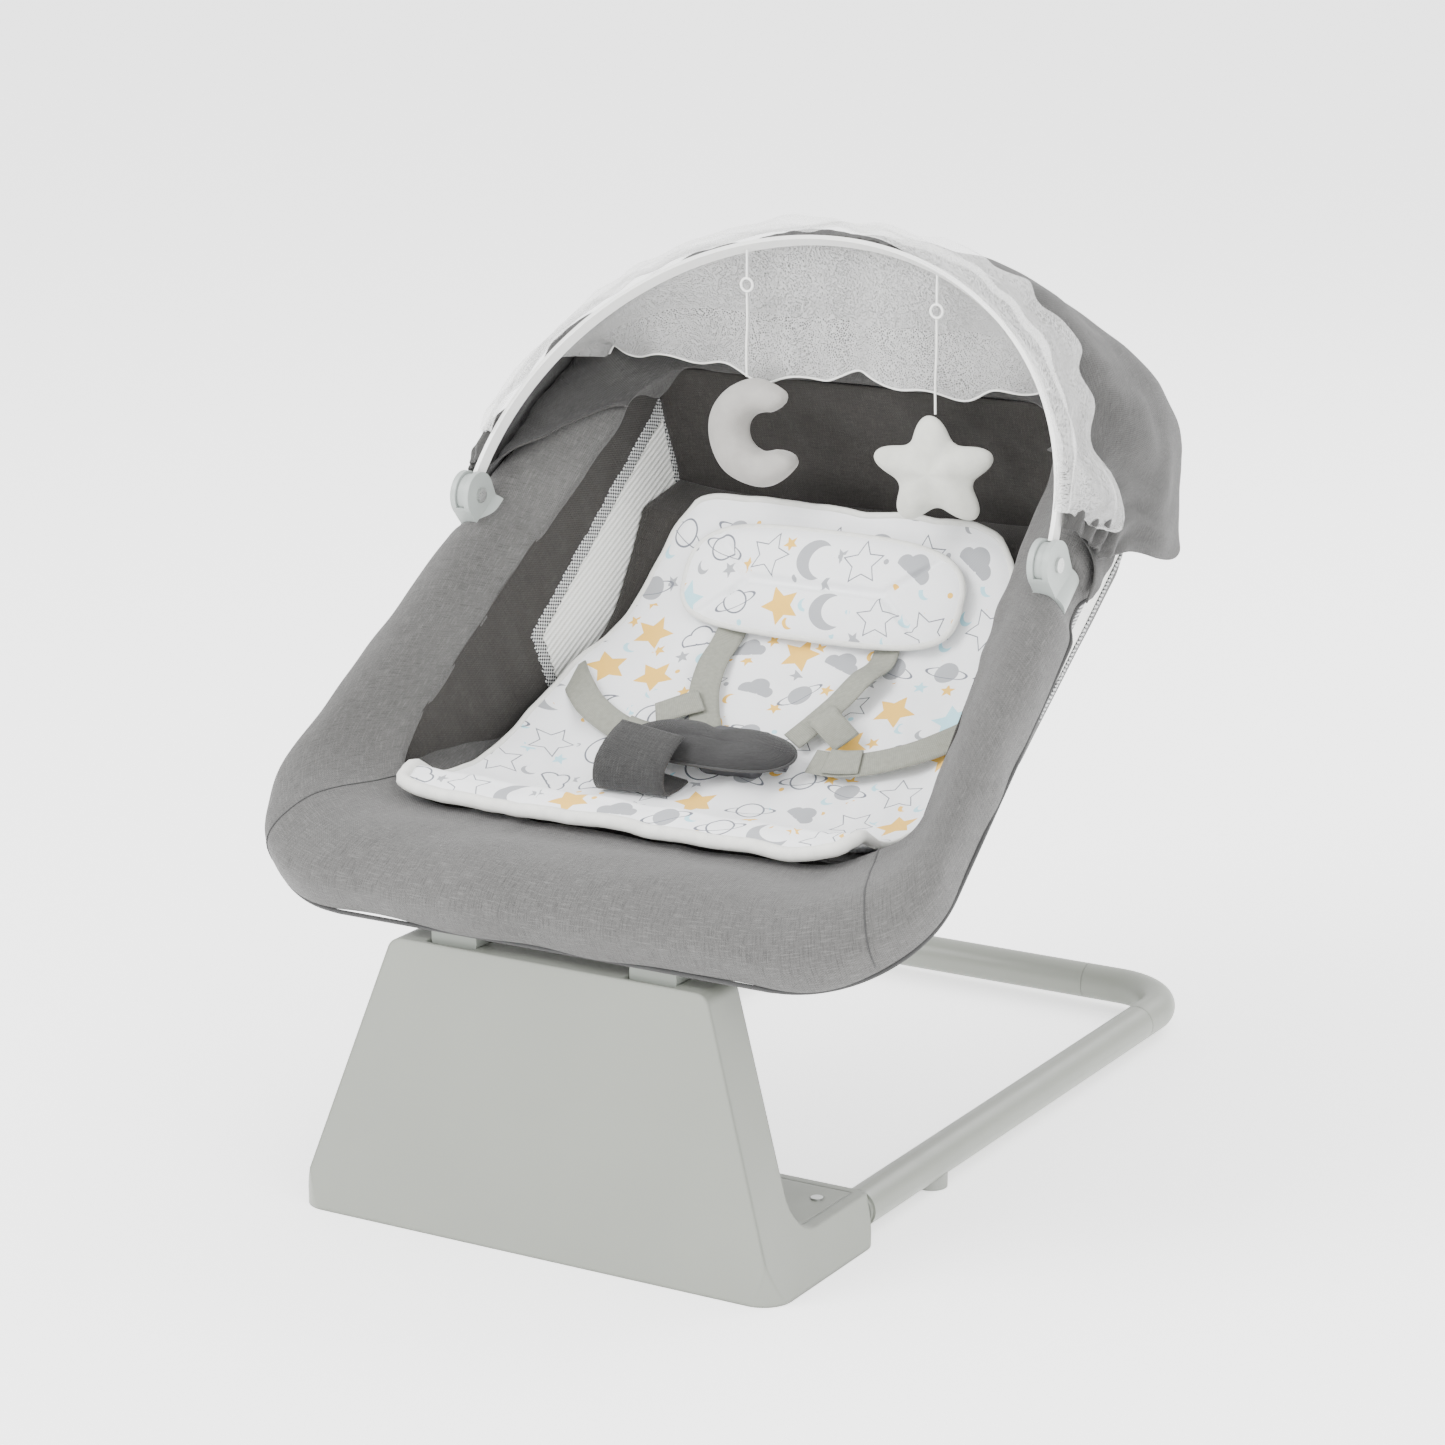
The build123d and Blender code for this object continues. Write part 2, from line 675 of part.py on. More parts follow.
head_wall_line = [head_wall_foot, (inner_head_v + head_wall_rise, wall_top - gap)]
with BuildPart() as head_wall:
    with BuildSketch(side_plane):
        with BuildLine():
            Polyline(*band(head_wall_line, [(v + sling_thickness, n) for v, n in head_wall_line]), close=True)
        make_face()
    extrude(amount=outer_front_half, both=True)
    with BuildSketch(rim_plane.offset(-200)):
        with BuildLine():
            Polyline(*tub_outline(head_wall_foot[0], inner_head_v + head_wall_rise + sling_thickness), close=True)
        make_face()
    extrude(amount=300, mode=Mode.INTERSECT)
head_wall.part.label = "head_wall"
export_step(head_wall.part, "parts/head_wall.step")

with BuildPart() as liner_pad:
    with BuildSketch(side_plane):
        with BuildLine():
            Polyline(*band(raised(liner_profile, -liner_thickness), liner_profile), close=True)
        make_face()
    extrude(amount=liner_wide_half, both=True)
    with BuildSketch(rim_plane.offset(-200)):
        with BuildLine():
            Polyline(
                (-liner_wide_half, liner_profile[0][0]),
                (liner_wide_half, liner_profile[0][0]),
                (liner_wide_half, liner_profile[4][0]),
                (liner_top_half, liner_profile[-1][0]),
                (-liner_top_half, liner_profile[-1][0]),
                (-liner_wide_half, liner_profile[4][0]),
                close=True,
            )
        make_face()
        fillet(vertices().group_by(Axis.Y)[-1], radius=30)
    extrude(amount=300, mode=Mode.INTERSECT)
liner_pad.part.label = "liner_pad"
export_step(liner_pad.part, "parts/liner_pad.step")

# ---------------------------------------------------------------- pillow and harness
slope_high = liner_profile[-1]
pillow_low = rim_point(0, liner_profile[5][0], liner_profile[5][1])
pillow_high = rim_point(0, slope_high[0], slope_high[1])
pillow_along = pillow_high - pillow_low
pillow_base = Plane(origin=(pillow_low + pillow_high) / 2, x_dir=(1, 0, 0), z_dir=Vector(1, 0, 0).cross(pillow_along))
with BuildPart() as head_pillow:
    with BuildSketch(pillow_base.offset(pillow_lift)):
        RectangleRounded(pillow_length, pillow_depth, pillow_depth / 2 - 2)
    extrude(amount=pillow_thickness)
    fillet(faces().sort_by(Axis((0, 0, 0), pillow_base.z_dir))[-1].edges(), radius=pillow_thickness / 2)
head_pillow.part.label = "head_pillow"
export_step(head_pillow.part, "parts/head_pillow.step")


def strap_line(v0, v1, lift):
    """The liner's profile between two places on the slope, raised to carry a strap."""
    middle = [p for p in liner_profile if v0 < p[0] < v1]
    ends = [(v, profile_at(liner_profile, v)) for v in (v0, v1)]
    return raised([ends[0]] + middle + [ends[1]], lift)


def strap(v0, v1, u0, u1, lift=strap_gap):
    """A flat strap lying on the liner, as wide as u0 to u1."""
    with BuildPart() as webbing:
        with BuildSketch(side_plane.offset(u0)):
            with BuildLine():
                Polyline(*band(strap_line(v0, v1, lift), strap_line(v0, v1, lift + strap_thickness)), close=True)
            make_face()
        extrude(amount=u1 - u0)
    return webbing.part


shoulder_top_v = slope_high[0] - pillow_depth + 8
shoulder_low_v = waist_v + strap_width / 2 + 4
tongue_out = buckle_width / 2 + tongue_length
for name, side in sides.items():
    shoulder_strap = BuildPart()
    with shoulder_strap:
        middle = side * shoulder_x
        add(strap(shoulder_low_v, shoulder_top_v, middle - strap_width / 2, middle + strap_width / 2))
    shoulder_strap.part.label = f"shoulder_strap_{name}"
    export_step(shoulder_strap.part, f"parts/shoulder_strap_{name}.step")

    waist_strap = BuildPart()
    with waist_strap:
        ends = sorted((side * (tongue_out + 1), side * waist_outer_x))
        add(strap(waist_v - strap_width / 2, waist_v + strap_width / 2, ends[0], ends[1], 2 * strap_gap))
    waist_strap.part.label = f"waist_strap_{name}"
    export_step(waist_strap.part, f"parts/waist_strap_{name}.step")

crotch_strap = BuildPart()
with crotch_strap:
    add(strap(crotch_v, buckle_v - buckle_depth / 2 - 1, -crotch_width / 2, crotch_width / 2))
crotch_strap.part.label = "crotch_strap"
export_step(crotch_strap.part, "parts/crotch_strap.step")

buckle_n = profile_at(liner_profile, buckle_v) + 1.6
tongue_n = buckle_n + 2.6
button_top = buckle_n + buckle_height + 1.6
with BuildPart() as buckle_body:
    with BuildSketch(rim_plane.offset(buckle_n)):
        with Locations((0, buckle_v)):
            RectangleRounded(buckle_width, buckle_depth, 6)
    extrude(amount=buckle_height)
    with BuildSketch(rim_plane.offset(buckle_n + buckle_height)):
        with Locations((0, buckle_v)):
            Circle(button_radius + button_play)
    extrude(amount=-button_travel - 3.5, mode=Mode.SUBTRACT)
    with BuildSketch(rim_plane.offset(tongue_n - 0.2)):
        for side in sides.values():
            with Locations((side * (buckle_width / 2 - 2), buckle_v)):
                Rectangle(20, tongue_width + 0.4)
    extrude(amount=tongue_thickness + 0.4, mode=Mode.SUBTRACT)
buckle_body.part.label = "buckle_body"
export_step(buckle_body.part, "parts/buckle_body.step")

with BuildPart() as buckle_button:
    with BuildSketch(rim_plane.offset(button_top)):
        with Locations((0, buckle_v)):
            Circle(button_radius)
    extrude(amount=-4.6)
buckle_button.part.label = "buckle_button"
export_step(buckle_button.part, "parts/buckle_button.step")

for name, side in sides.items():
    with BuildPart() as buckle_tongue:
        with BuildSketch(rim_plane.offset(tongue_n)):
            with Locations((side * (buckle_width / 2 - 10 + tongue_length / 2 + 4), buckle_v)):
                Rectangle(tongue_length + 8, tongue_width)
        extrude(amount=tongue_thickness)
    buckle_tongue.part.label = f"buckle_tongue_{name}"
    export_step(buckle_tongue.part, f"parts/buckle_tongue_{name}.step")

with BuildPart() as buckle_cover_pad:
    with BuildSketch(rim_plane.offset(button_top + 1)):
        with Locations((0, buckle_v)):
            RectangleRounded(cover_pad_length, cover_pad_depth, cover_pad_depth / 2 - 3)
    extrude(amount=cover_pad_thickness)
buckle_cover_pad.part.label = "buckle_cover_pad"
export_step(buckle_cover_pad.part, "parts/buckle_cover_pad.step")

side_strap_low = -112.0
for name, side in sides.items():
    cross = Plane(
        origin=rim_point(0, side_strap_v, 0),
        x_dir=(1, 0, 0),
        z_dir=(0, -math.cos(tilt), -math.sin(tilt)),
    )
    top_x = wall_x(side_strap_v, wall_top) + wall_thickness + 8
    low_x = wall_x(side_strap_v, side_strap_low) + wall_thickness + 2
    web = [(top_x, wall_top), (low_x + 9, -80), (low_x, side_strap_low)]
    outline = band(web, [(u + strap_thickness, n) for u, n in web])
    with BuildPart() as side_strap:
        with BuildSketch(cross):
            with BuildLine():
                Polyline(*[(side * u, n) for u, n in outline], close=True)
            make_face()
        extrude(amount=strap_width / 2, both=True)
    side_strap.part.label = f"side_strap_{name}"
    export_step(side_strap.part, f"parts/side_strap_{name}.step")

# ---------------------------------------------------------------- canopy clips, hubs and hoop
cheek_outer = hub_thickness / 2 + cheek_gap + cheek_thickness
for name, side in sides.items():
    hinge = Location((side * hinge_x, canopy_y, canopy_z), (0, 90, 0))
    with BuildPart() as rail_clip:
        with BuildSketch(clip_plane(side).offset(-clip_length / 2)):
            Circle(rim_tube_radius + clip_clearance + clip_wall)
        extrude(amount=clip_length)
        with BuildSketch(Plane.YZ.offset(side * hinge_x - cheek_outer)):
            with BuildLine():
                low = rim_point(0, clip_v, 0)
                Polyline(
                    (canopy_y - cheek_radius * math.cos(tilt), canopy_z - cheek_radius * math.sin(tilt)),
                    (canopy_y + cheek_radius * math.cos(tilt), canopy_z + cheek_radius * math.sin(tilt)),
                    (low.Y + cheek_radius * math.cos(tilt) * 0.8, low.Z + cheek_radius * math.sin(tilt) * 0.8),
                    (low.Y - cheek_radius * math.cos(tilt) * 0.8, low.Z - cheek_radius * math.sin(tilt) * 0.8),
                    close=True,
                )
            make_face()
            with Locations((canopy_y, canopy_z)):
                Circle(cheek_radius)
        extrude(amount=2 * cheek_outer)
        with BuildSketch(clip_plane(side).offset(-2 * clip_length)):
            Circle(rim_tube_radius + clip_clearance)
        extrude(amount=4 * clip_length, mode=Mode.SUBTRACT)
        with Locations(hinge):
            Cylinder(hub_radius + 0.6, hub_thickness + 2 * cheek_gap, mode=Mode.SUBTRACT)
        with BuildSketch(Plane.YZ.offset(side * hinge_x - hub_thickness / 2 - cheek_gap)):
            with BuildLine():
                # room for the hoop's foot from parked to fully forward
                Polyline(
                    (canopy_y, canopy_z - 4),
                    (canopy_y + 40, canopy_z - 4 + 10),
                    (canopy_y + 40, canopy_z + 40),
                    (canopy_y - 40, canopy_z + 40),
                    (canopy_y - 40, canopy_z - 14),
                    close=True,
                )
            make_face()
        extrude(amount=hub_thickness + 2 * cheek_gap, mode=Mode.SUBTRACT)
        with Locations(hinge):
            Cylinder(hinge_screw_radius, 60, mode=Mode.SUBTRACT)
    rail_clip.part.label = f"rail_clip_{name}"
    export_step(rail_clip.part, f"parts/rail_clip_{name}.step")

    with BuildPart() as hoop_hub:
        with Locations(hinge):
            Cylinder(hub_radius, hub_thickness)
            Cylinder(hinge_screw_radius + play, 60, mode=Mode.SUBTRACT)
    hoop_hub.part.label = f"hoop_hub_{name}"
    export_step(hoop_hub.part, f"parts/hoop_hub_{name}.step")

with BuildPart() as clip_screws:
    for side in sides.values():
        with Locations(Location((side * hinge_x, canopy_y, canopy_z), (0, 90, 0))):
            Cylinder(hinge_screw_radius, 2 * cheek_outer)
        for out in (-1, 1):
            head_x = side * hinge_x + out * (cheek_outer + 1)
            with Locations(Location((head_x, canopy_y, canopy_z), (0, 90, 0))):
                Cylinder(2 * hinge_screw_radius, 2)
clip_screws.part.label = "clip_screws"
export_step(clip_screws.part, "parts/clip_screws.step")

hoop_tilt = math.radians(hoop_angle)
hoop_plane = Plane(
    origin=(0, canopy_y, canopy_z),
    x_dir=(1, 0, 0),
    z_dir=(0, -math.sin(hoop_tilt), math.cos(hoop_tilt)),
)
hoop_outer_x = hinge_x + hoop_thickness / 2
foot_turn = math.degrees(math.asin((hub_radius + 0.3) / hoop_height))
hoop_sweep = 180 - 2 * foot_turn
with BuildPart() as hoop:
    with BuildSketch(hoop_plane.offset(-hoop_width / 2)):
        with BuildLine():
            outer = EllipticalCenterArc((0, 0), hoop_outer_x, hoop_height, foot_turn, arc_size=hoop_sweep)
            inner = EllipticalCenterArc(
                (0, 0),
                hoop_outer_x - hoop_thickness,
                hoop_height - hoop_thickness,
                foot_turn,
                arc_size=hoop_sweep,
            )
            Line(outer @ 0, inner @ 0)
            Line(outer @ 1, inner @ 1)
        make_face()
    extrude(amount=hoop_width)
hoop.part.label = "hoop"
export_step(hoop.part, "parts/hoop.step")

with BuildPart() as net_valance:
    with BuildSketch(Plane.XZ.offset(-net_y - net_thickness)):
        with BuildLine():
            Polyline(
                (-net_half_width, net_hem_z),
                (net_half_width, net_hem_z),
                (net_half_width * 0.8, (net_hem_z + net_top_z) / 2 + 12),
                (net_half_width * 0.45, net_top_z),
                (-net_half_width * 0.45, net_top_z),
                (-net_half_width * 0.8, (net_hem_z + net_top_z) / 2 + 12),
                close=True,
            )
        make_face()
    extrude(amount=net_thickness)
net_valance.part.label = "net_valance"
export_step(net_valance.part, "parts/net_valance.step")

# ---------------------------------------------------------------- hood
# Side outlines, as seen from the canopy hinge: an outer one and the open space inside it.
hood_outline = [(127, 179), (175, 172), (217, 146), (241, 100), (241, 50), (225, 16), (125, -18), (57, -22), (25, 20)]
hood_inside = [(-25, 176), (127, 176), (174, 169), (214.6, 144), (238, 99), (238, 51), (222.5, 17), (205, -80), (-25, -80)]


def hood_block(points, shrink):
    """The hood's outline run across the seat, under an arch like the hoop's."""
    half = hood_half_width + hood_thickness - shrink
    rise = hood_rise - shrink
    with BuildPart() as block:
        with BuildSketch(Plane.YZ):
            with BuildLine():
                Polyline(*[(canopy_y + y, canopy_z + z) for y, z in points], close=True)
            make_face()
        extrude(amount=2 * hood_half_width, both=True)
        with BuildSketch(Plane.XZ.offset(-canopy_y - 2 * hood_half_width)):
            with BuildLine():
                EllipticalCenterArc((0, canopy_z), half, rise, 0, arc_size=180)
                Polyline((-half, canopy_z), (-half, 0), (half, 0), (half, canopy_z))
            make_face()
        extrude(amount=canopy_y + 2 * hood_half_width, mode=Mode.INTERSECT)
    return block.part


with BuildPart() as hood:
    add(hood_block(hood_outline, 0))
    add(hood_block(hood_inside, hood_thickness), mode=Mode.SUBTRACT)
    # clear of the rim's padding, on which the hood lies
    with BuildSketch(rim_plane.offset(-outer_head_v)):
        with BuildLine():
            Polyline(
                *rim_outline(outer_front_half, outer_head_half, outer_front_v, outer_head_v),
                close=True,
            )
        make_face()
        fillet(vertices().group_by(Axis.Y)[0], radius=outer_front_radius)
        fillet(vertices().group_by(Axis.Y)[-1], radius=outer_head_radius)
        offset(amount=gap)
    extrude(amount=outer_head_v + pad_above + gap, mode=Mode.SUBTRACT)
    for side in sides.values():
        with Locations((side * hinge_x, canopy_y + cheek_radius, canopy_z)):
            Box(clip_length + 4, 4 * cheek_radius, 6 * cheek_radius, mode=Mode.SUBTRACT)
hood.part.label = "hood"
export_step(hood.part, "parts/hood.step")


# ---------------------------------------------------------------- hanging toys
def hoop_underside(x):
    """Point just under the hoop, at its middle width."""
    reach = (hoop_height - hoop_thickness) * math.sqrt(1 - (x / (hoop_outer_x - hoop_thickness)) ** 2) - 1.0
    return hoop_plane.from_local_coords(Vector(x, reach, 0))


toys = {"moon": (moon_x, moon_top), "star": (star_x, star_top)}
for name, (x, top) in toys.items():
    hang = hoop_underside(x)
    ring_z = hang.Z - toy_radius_drop
    with BuildPart() as toy_ring:
        with Locations(Location((x, hang.Y, ring_z), (90, 0, 0))):
            Torus(ring_radius, ring_wire)
        with BuildSketch(Plane.XY.offset(ring_z + ring_radius)):
            with Locations((x, hang.Y)):
                Circle(string_radius)
        extrude(amount=hang.Z - ring_z - ring_radius)
    toy_ring.part.label = f"{name}_ring"
    export_step(toy_ring.part, f"parts/{name}_ring.step")

    string_top = ring_z - ring_radius - ring_wire - 0.1
    with BuildPart() as toy_string:
        with BuildSketch(Plane.XY.offset(top + 0.4)):
            with Locations((x, hang.Y)):
                Circle(string_radius)
        extrude(amount=string_top - top - 0.4)
    toy_string.part.label = f"{name}_string"
    export_step(toy_string.part, f"parts/{name}_string.step")
    print(name, "pivot", x, round(hang.Y, 2), round(hang.Z, 2), "string top", round(string_top, 2), "toy top", top)

moon_hang = hoop_underside(moon_x)
moon_arc = 360 - moon_opening
with BuildPart() as moon:
    with BuildSketch(Plane.XZ.offset(-moon_hang.Y - toy_thickness / 2)):
        with Locations((moon_x + moon_offset, moon_top - moon_radius)):
            with BuildLine():
                moon_path = CenterArc((0, 0), moon_radius - moon_band / 2, moon_opening / 2, moon_arc)
            SlotArc(arc=moon_path.edge(), height=moon_band)
    extrude(amount=toy_thickness)
moon.part.label = "moon"
export_step(moon.part, "parts/moon.step")

star_hang = hoop_underside(star_x)
star_points = []
for k in range(10):
    turn = math.radians(36 * k)
    reach = 1.0 if k % 2 == 0 else star_waist
    across_star = star_x + star_half_width * reach * math.sin(turn)
    up_star = star_top + star_half_height * (reach * math.cos(turn) - 1)
    star_points.append((across_star, up_star))
with BuildPart() as star:
    with BuildSketch(Plane.XZ.offset(-star_hang.Y - toy_thickness / 2)):
        with BuildLine():
            Polyline(*star_points, close=True)
        make_face()
    extrude(amount=toy_thickness)
star.part.label = "star"
export_step(star.part, "parts/star.step")

print("clip on the slope", round(clip_v, 1), "above the rim plane", round(clip_n, 1))
print("liner top", rim_point(0, *slope_high), "front", rim_point(0, *liner_profile[0]))
print("button", rim_point(0, buckle_v, button_top), "normal", rim_plane.z_dir)
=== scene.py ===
import json
import math

import bpy
import numpy as np
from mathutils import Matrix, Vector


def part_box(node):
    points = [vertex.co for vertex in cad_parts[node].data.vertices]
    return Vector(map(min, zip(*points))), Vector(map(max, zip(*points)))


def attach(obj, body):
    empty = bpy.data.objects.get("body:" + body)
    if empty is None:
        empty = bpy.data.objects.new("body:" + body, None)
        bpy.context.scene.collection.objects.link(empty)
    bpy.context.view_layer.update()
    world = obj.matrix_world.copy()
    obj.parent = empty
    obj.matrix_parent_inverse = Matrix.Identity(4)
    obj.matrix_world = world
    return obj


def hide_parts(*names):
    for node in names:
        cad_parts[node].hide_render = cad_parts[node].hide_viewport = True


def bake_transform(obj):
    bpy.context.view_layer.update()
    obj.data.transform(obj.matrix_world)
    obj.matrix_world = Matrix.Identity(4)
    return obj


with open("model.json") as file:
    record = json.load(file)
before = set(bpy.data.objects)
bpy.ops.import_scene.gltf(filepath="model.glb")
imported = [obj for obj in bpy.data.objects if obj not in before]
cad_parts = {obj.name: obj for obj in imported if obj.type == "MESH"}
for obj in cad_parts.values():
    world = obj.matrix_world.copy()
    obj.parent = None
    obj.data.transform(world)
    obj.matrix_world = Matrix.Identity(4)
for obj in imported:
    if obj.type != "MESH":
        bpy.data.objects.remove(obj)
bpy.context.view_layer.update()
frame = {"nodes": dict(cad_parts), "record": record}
print("frame loaded")

# Places on the sloping rim: u across, v up the slope, n above the rim's plane, in millimetres.
rim = {
    "tilt": math.radians(33.5),
    "height": 208.0,
    "outer": (252.0, 222.0, 12.0, 565.0, 92.0, 78.0),
    "inner": (201.0, 163.0, 117.0, 515.0, 68.0, 40.0),
}


def onRim(u, v, n):
    u, v, n = np.broadcast_arrays(u, v, n)
    y = v * math.cos(rim["tilt"]) - n * math.sin(rim["tilt"])
    z = rim["height"] + v * math.sin(rim["tilt"]) + n * math.cos(rim["tilt"])
    return np.stack([u, y, z], -1) / 1000


def smoothLine(points, count, closed=False):
    # A smooth line through the points, evenly spaced.
    points = np.asarray(points, float)
    if closed:
        ends = np.concatenate([points[-1:], points, points[:2]])
    else:
        ends = np.concatenate([2 * points[:1] - points[1:2], points, 2 * points[-1:] - points[-2:-1]])
    t = np.linspace(0, 1, 24, endpoint=False)[None, :, None]
    a, b, c, d = (ends[k:len(ends) - 3 + k, None] for k in range(4))
    line = 0.5 * (2 * b + (c - a) * t + (2 * a - 5 * b + 4 * c - d) * t**2 + (3 * b - a - 3 * c + d) * t**3)
    line = line.reshape(-1, points.shape[1])
    line = np.concatenate([line, points[:1] if closed else points[-1:]])
    run = np.concatenate([[0], np.cumsum(np.linalg.norm(np.diff(line, axis=0), axis=1))])
    want = np.linspace(0, run[-1], count + 1)[:-1] if closed else np.linspace(0, run[-1], count)
    return np.stack([np.interp(want, run, line[:, k]) for k in range(points.shape[1])], -1)


def ripples(points, wave, seed, count=7):
    # Soft uneven height, about -1 to 1, from plane waves in seeded directions.
    rng = np.random.default_rng(seed)
    size = points.shape[-1]
    direction = rng.normal(size=(count, size))
    direction /= np.linalg.norm(direction, axis=1)[:, None]
    length = wave * rng.uniform(0.6, 1.5, count)
    phase = rng.uniform(0, 2 * math.pi, count)
    total = 0
    for k in range(count):
        total = total + np.sin(points @ direction[k] * 2 * math.pi / length[k] + phase[k])
    return total / math.sqrt(count) / 1.2


def runLength(points, axis):
    # Distance travelled along one way of a grid of points.
    step = np.linalg.norm(np.diff(points, axis=axis), axis=-1)
    pad = [(0, 0)] * step.ndim
    pad[axis] = (1, 0)
    return np.pad(np.cumsum(step, axis=axis), pad)


def facing(points, closed=False):
    # Outward normals of a grid of points.
    if closed:
        wide = np.concatenate([points[:, -1:], points, points[:, :1]], 1)
        across = np.gradient(wide, axis=1)[:, 1:-1]
    else:
        across = np.gradient(points, axis=1)
    normal = np.cross(np.gradient(points, axis=0), across)
    return normal / np.maximum(np.linalg.norm(normal, axis=-1), 1e-9)[..., None]


def gridPiece(name, points, uv=None, wrap=False, ring=False, caps=False, keep=None):
    # A mesh from a grid: wrap joins its columns, ring joins its rows, caps closes its two ends.
    rows, cols = points.shape[:2]
    lastRow = rows if ring else rows - 1
    lastCol = cols if wrap else cols - 1
    i, j = np.meshgrid(np.arange(lastRow), np.arange(lastCol), indexing="ij")
    i, j = i.ravel(), j.ravel()
    if keep is not None:
        chosen = keep.ravel()
        i, j = i[chosen], j[chosen]
    cornersI = np.stack([i, i, i + 1, i + 1], 1)
    cornersJ = np.stack([j, j + 1, j + 1, j], 1)
    quads = (cornersI % rows) * cols + cornersJ % cols
    if uv is None:
        wide = np.concatenate([points, points[:, :1]], 1) if wrap else points
        wide = np.concatenate([wide, wide[:1]], 0) if ring else wide
        along = runLength(wide, 0)
        uv = np.stack([runLength(wide, 1), np.repeat(along.mean(1)[:, None], wide.shape[1], 1)], -1)
    vertices = points.reshape(-1, 3)
    loops = [quads.ravel()]
    sizes = [np.full(len(quads), 4)]
    corners = [uv[cornersI, cornersJ].reshape(-1, 2)]
    if caps:
        for row, turned in ((0, False), (rows - 1, True)):
            pole = len(vertices)
            vertices = np.concatenate([vertices, points[row].mean(0)[None]])
            j = np.arange(cols)
            edge = row * cols + np.stack([j, (j + 1) % cols], 1)
            fan = np.concatenate([edge[:, ::-1] if not turned else edge, np.full((cols, 1), pole)], 1)
            middle = np.repeat(uv[row, :cols].mean(0)[None], cols, 0)
            ends = (uv[row, j + 1], uv[row, j]) if not turned else (uv[row, j], uv[row, j + 1])
            loops.append(fan.ravel())
            sizes.append(np.full(cols, 3))
            corners.append(np.stack([ends[0], ends[1], middle], 1).reshape(-1, 2))
    loops = np.concatenate(loops)
    sizes = np.concatenate(sizes)
    mesh = bpy.data.meshes.new(name)
    mesh.vertices.add(len(vertices))
    mesh.vertices.foreach_set("co", vertices.astype(np.float32).ravel())
    mesh.loops.add(len(loops))
    mesh.loops.foreach_set("vertex_index", loops.astype(np.int32))
    mesh.polygons.add(len(sizes))
    mesh.polygons.foreach_set("loop_start", np.concatenate([[0], np.cumsum(sizes)[:-1]]).astype(np.int32))
    mesh.polygons.foreach_set("loop_total", sizes.astype(np.int32))
    mesh.polygons.foreach_set("use_smooth", np.ones(len(sizes), bool))
    layer = mesh.uv_layers.new(name="weave")
    layer.data.foreach_set("uv", np.concatenate(corners).astype(np.float32).ravel())
    mesh.update(calc_edges=True)
    mesh.validate()
    piece = bpy.data.objects.new(name, mesh)
    bpy.context.scene.collection.objects.link(piece)
    return piece


def thicken(piece, thickness, levels=0):
    solid = piece.modifiers.new("thickness", "SOLIDIFY")
    solid.thickness = thickness / 1000
    solid.offset = 0
    if levels:
        smooth = piece.modifiers.new("smooth", "SUBSURF")
        smooth.levels = smooth.render_levels = levels
    return piece


def tubePiece(name, line, radius, sides=12, closed=False):
    # A round tube along a line.
    line = np.asarray(line, float)
    ahead = np.gradient(line, axis=0)
    if closed:
        ahead = (np.roll(line, -1, 0) - np.roll(line, 1, 0)) / 2
    ahead /= np.linalg.norm(ahead, axis=1)[:, None]
    guide = np.array([0.13, 0.31, 0.94])
    side = np.cross(ahead, guide)
    side /= np.linalg.norm(side, axis=1)[:, None]
    up = np.cross(side, ahead)
    turn = np.linspace(0, 2 * math.pi, sides, endpoint=False)
    radius = np.broadcast_to(radius, len(line))[:, None, None] / 1000
    ring = side[:, None] * np.cos(turn)[None, :, None] + up[:, None] * np.sin(turn)[None, :, None]
    return gridPiece(name, line[:, None] + ring * radius, wrap=True, ring=closed, caps=not closed)


def ribbonPiece(name, line, across, width, thickness):
    # Flat webbing along a line, its width along the given direction.
    line = np.asarray(line, float)
    ahead = np.gradient(line, axis=0)
    ahead /= np.linalg.norm(ahead, axis=1)[:, None]
    across = np.broadcast_to(np.asarray(across, float), line.shape).copy()
    across -= (across * ahead).sum(1)[:, None] * ahead
    across /= np.linalg.norm(across, axis=1)[:, None]
    up = np.cross(across, ahead)
    w, t = width / 2000, thickness / 2000
    flat = np.linspace(-1, 1, 9)
    outline = [(x * w, t) for x in flat] + [(w + t * 0.8, 0)]
    outline = outline + [(-x * w, -t) for x in flat] + [(-w - t * 0.8, 0)]
    outline = np.array(outline)
    rings = line[:, None] + across[:, None] * outline[None, :, :1] + up[:, None] * outline[None, :, 1:]
    closedOutline = np.concatenate([outline[:, 0], outline[:1, 0]])
    length = runLength(line[:, None], 0)[:, 0]
    uv = np.stack(np.broadcast_arrays(closedOutline[None, :], length[:, None]), -1)
    return gridPiece(name, rings, uv=uv, wrap=True, caps=True)


# Materials.
class Number:
    # A value inside a material, so that sums can be written with ordinary signs.
    def __init__(self, graph, socket):
        self.graph = graph
        self.socket = socket

    def _sum(self, kind, *others):
        node = self.graph.nodes.new("ShaderNodeMath")
        node.operation = kind
        for slot, value in zip(node.inputs, (self,) + others):
            put(self.graph, slot, value)
        return Number(self.graph, node.outputs[0])

    def __add__(self, other):
        return self._sum("ADD", other)

    def __sub__(self, other):
        return self._sum("SUBTRACT", other)

    def __mul__(self, other):
        return self._sum("MULTIPLY", other)

    def __truediv__(self, other):
        return self._sum("DIVIDE", other)

    def lowest(self, other):
        return self._sum("MINIMUM", other)

    def highest(self, other):
        return self._sum("MAXIMUM", other)

    def below(self, other):
        return self._sum("LESS_THAN", other)

    def above(self, other):
        return self._sum("GREATER_THAN", other)

    def size(self):
        return self._sum("ABSOLUTE")

    def root(self):
        return self._sum("SQRT")

    def sine(self):
        return self._sum("SINE")

    def cosine(self):
        return self._sum("COSINE")

    def whole(self):
        return self._sum("FLOOR")

    def rest(self):
        return self._sum("FRACT")

    def angle(self, other):
        return self._sum("ARCTAN2", other)


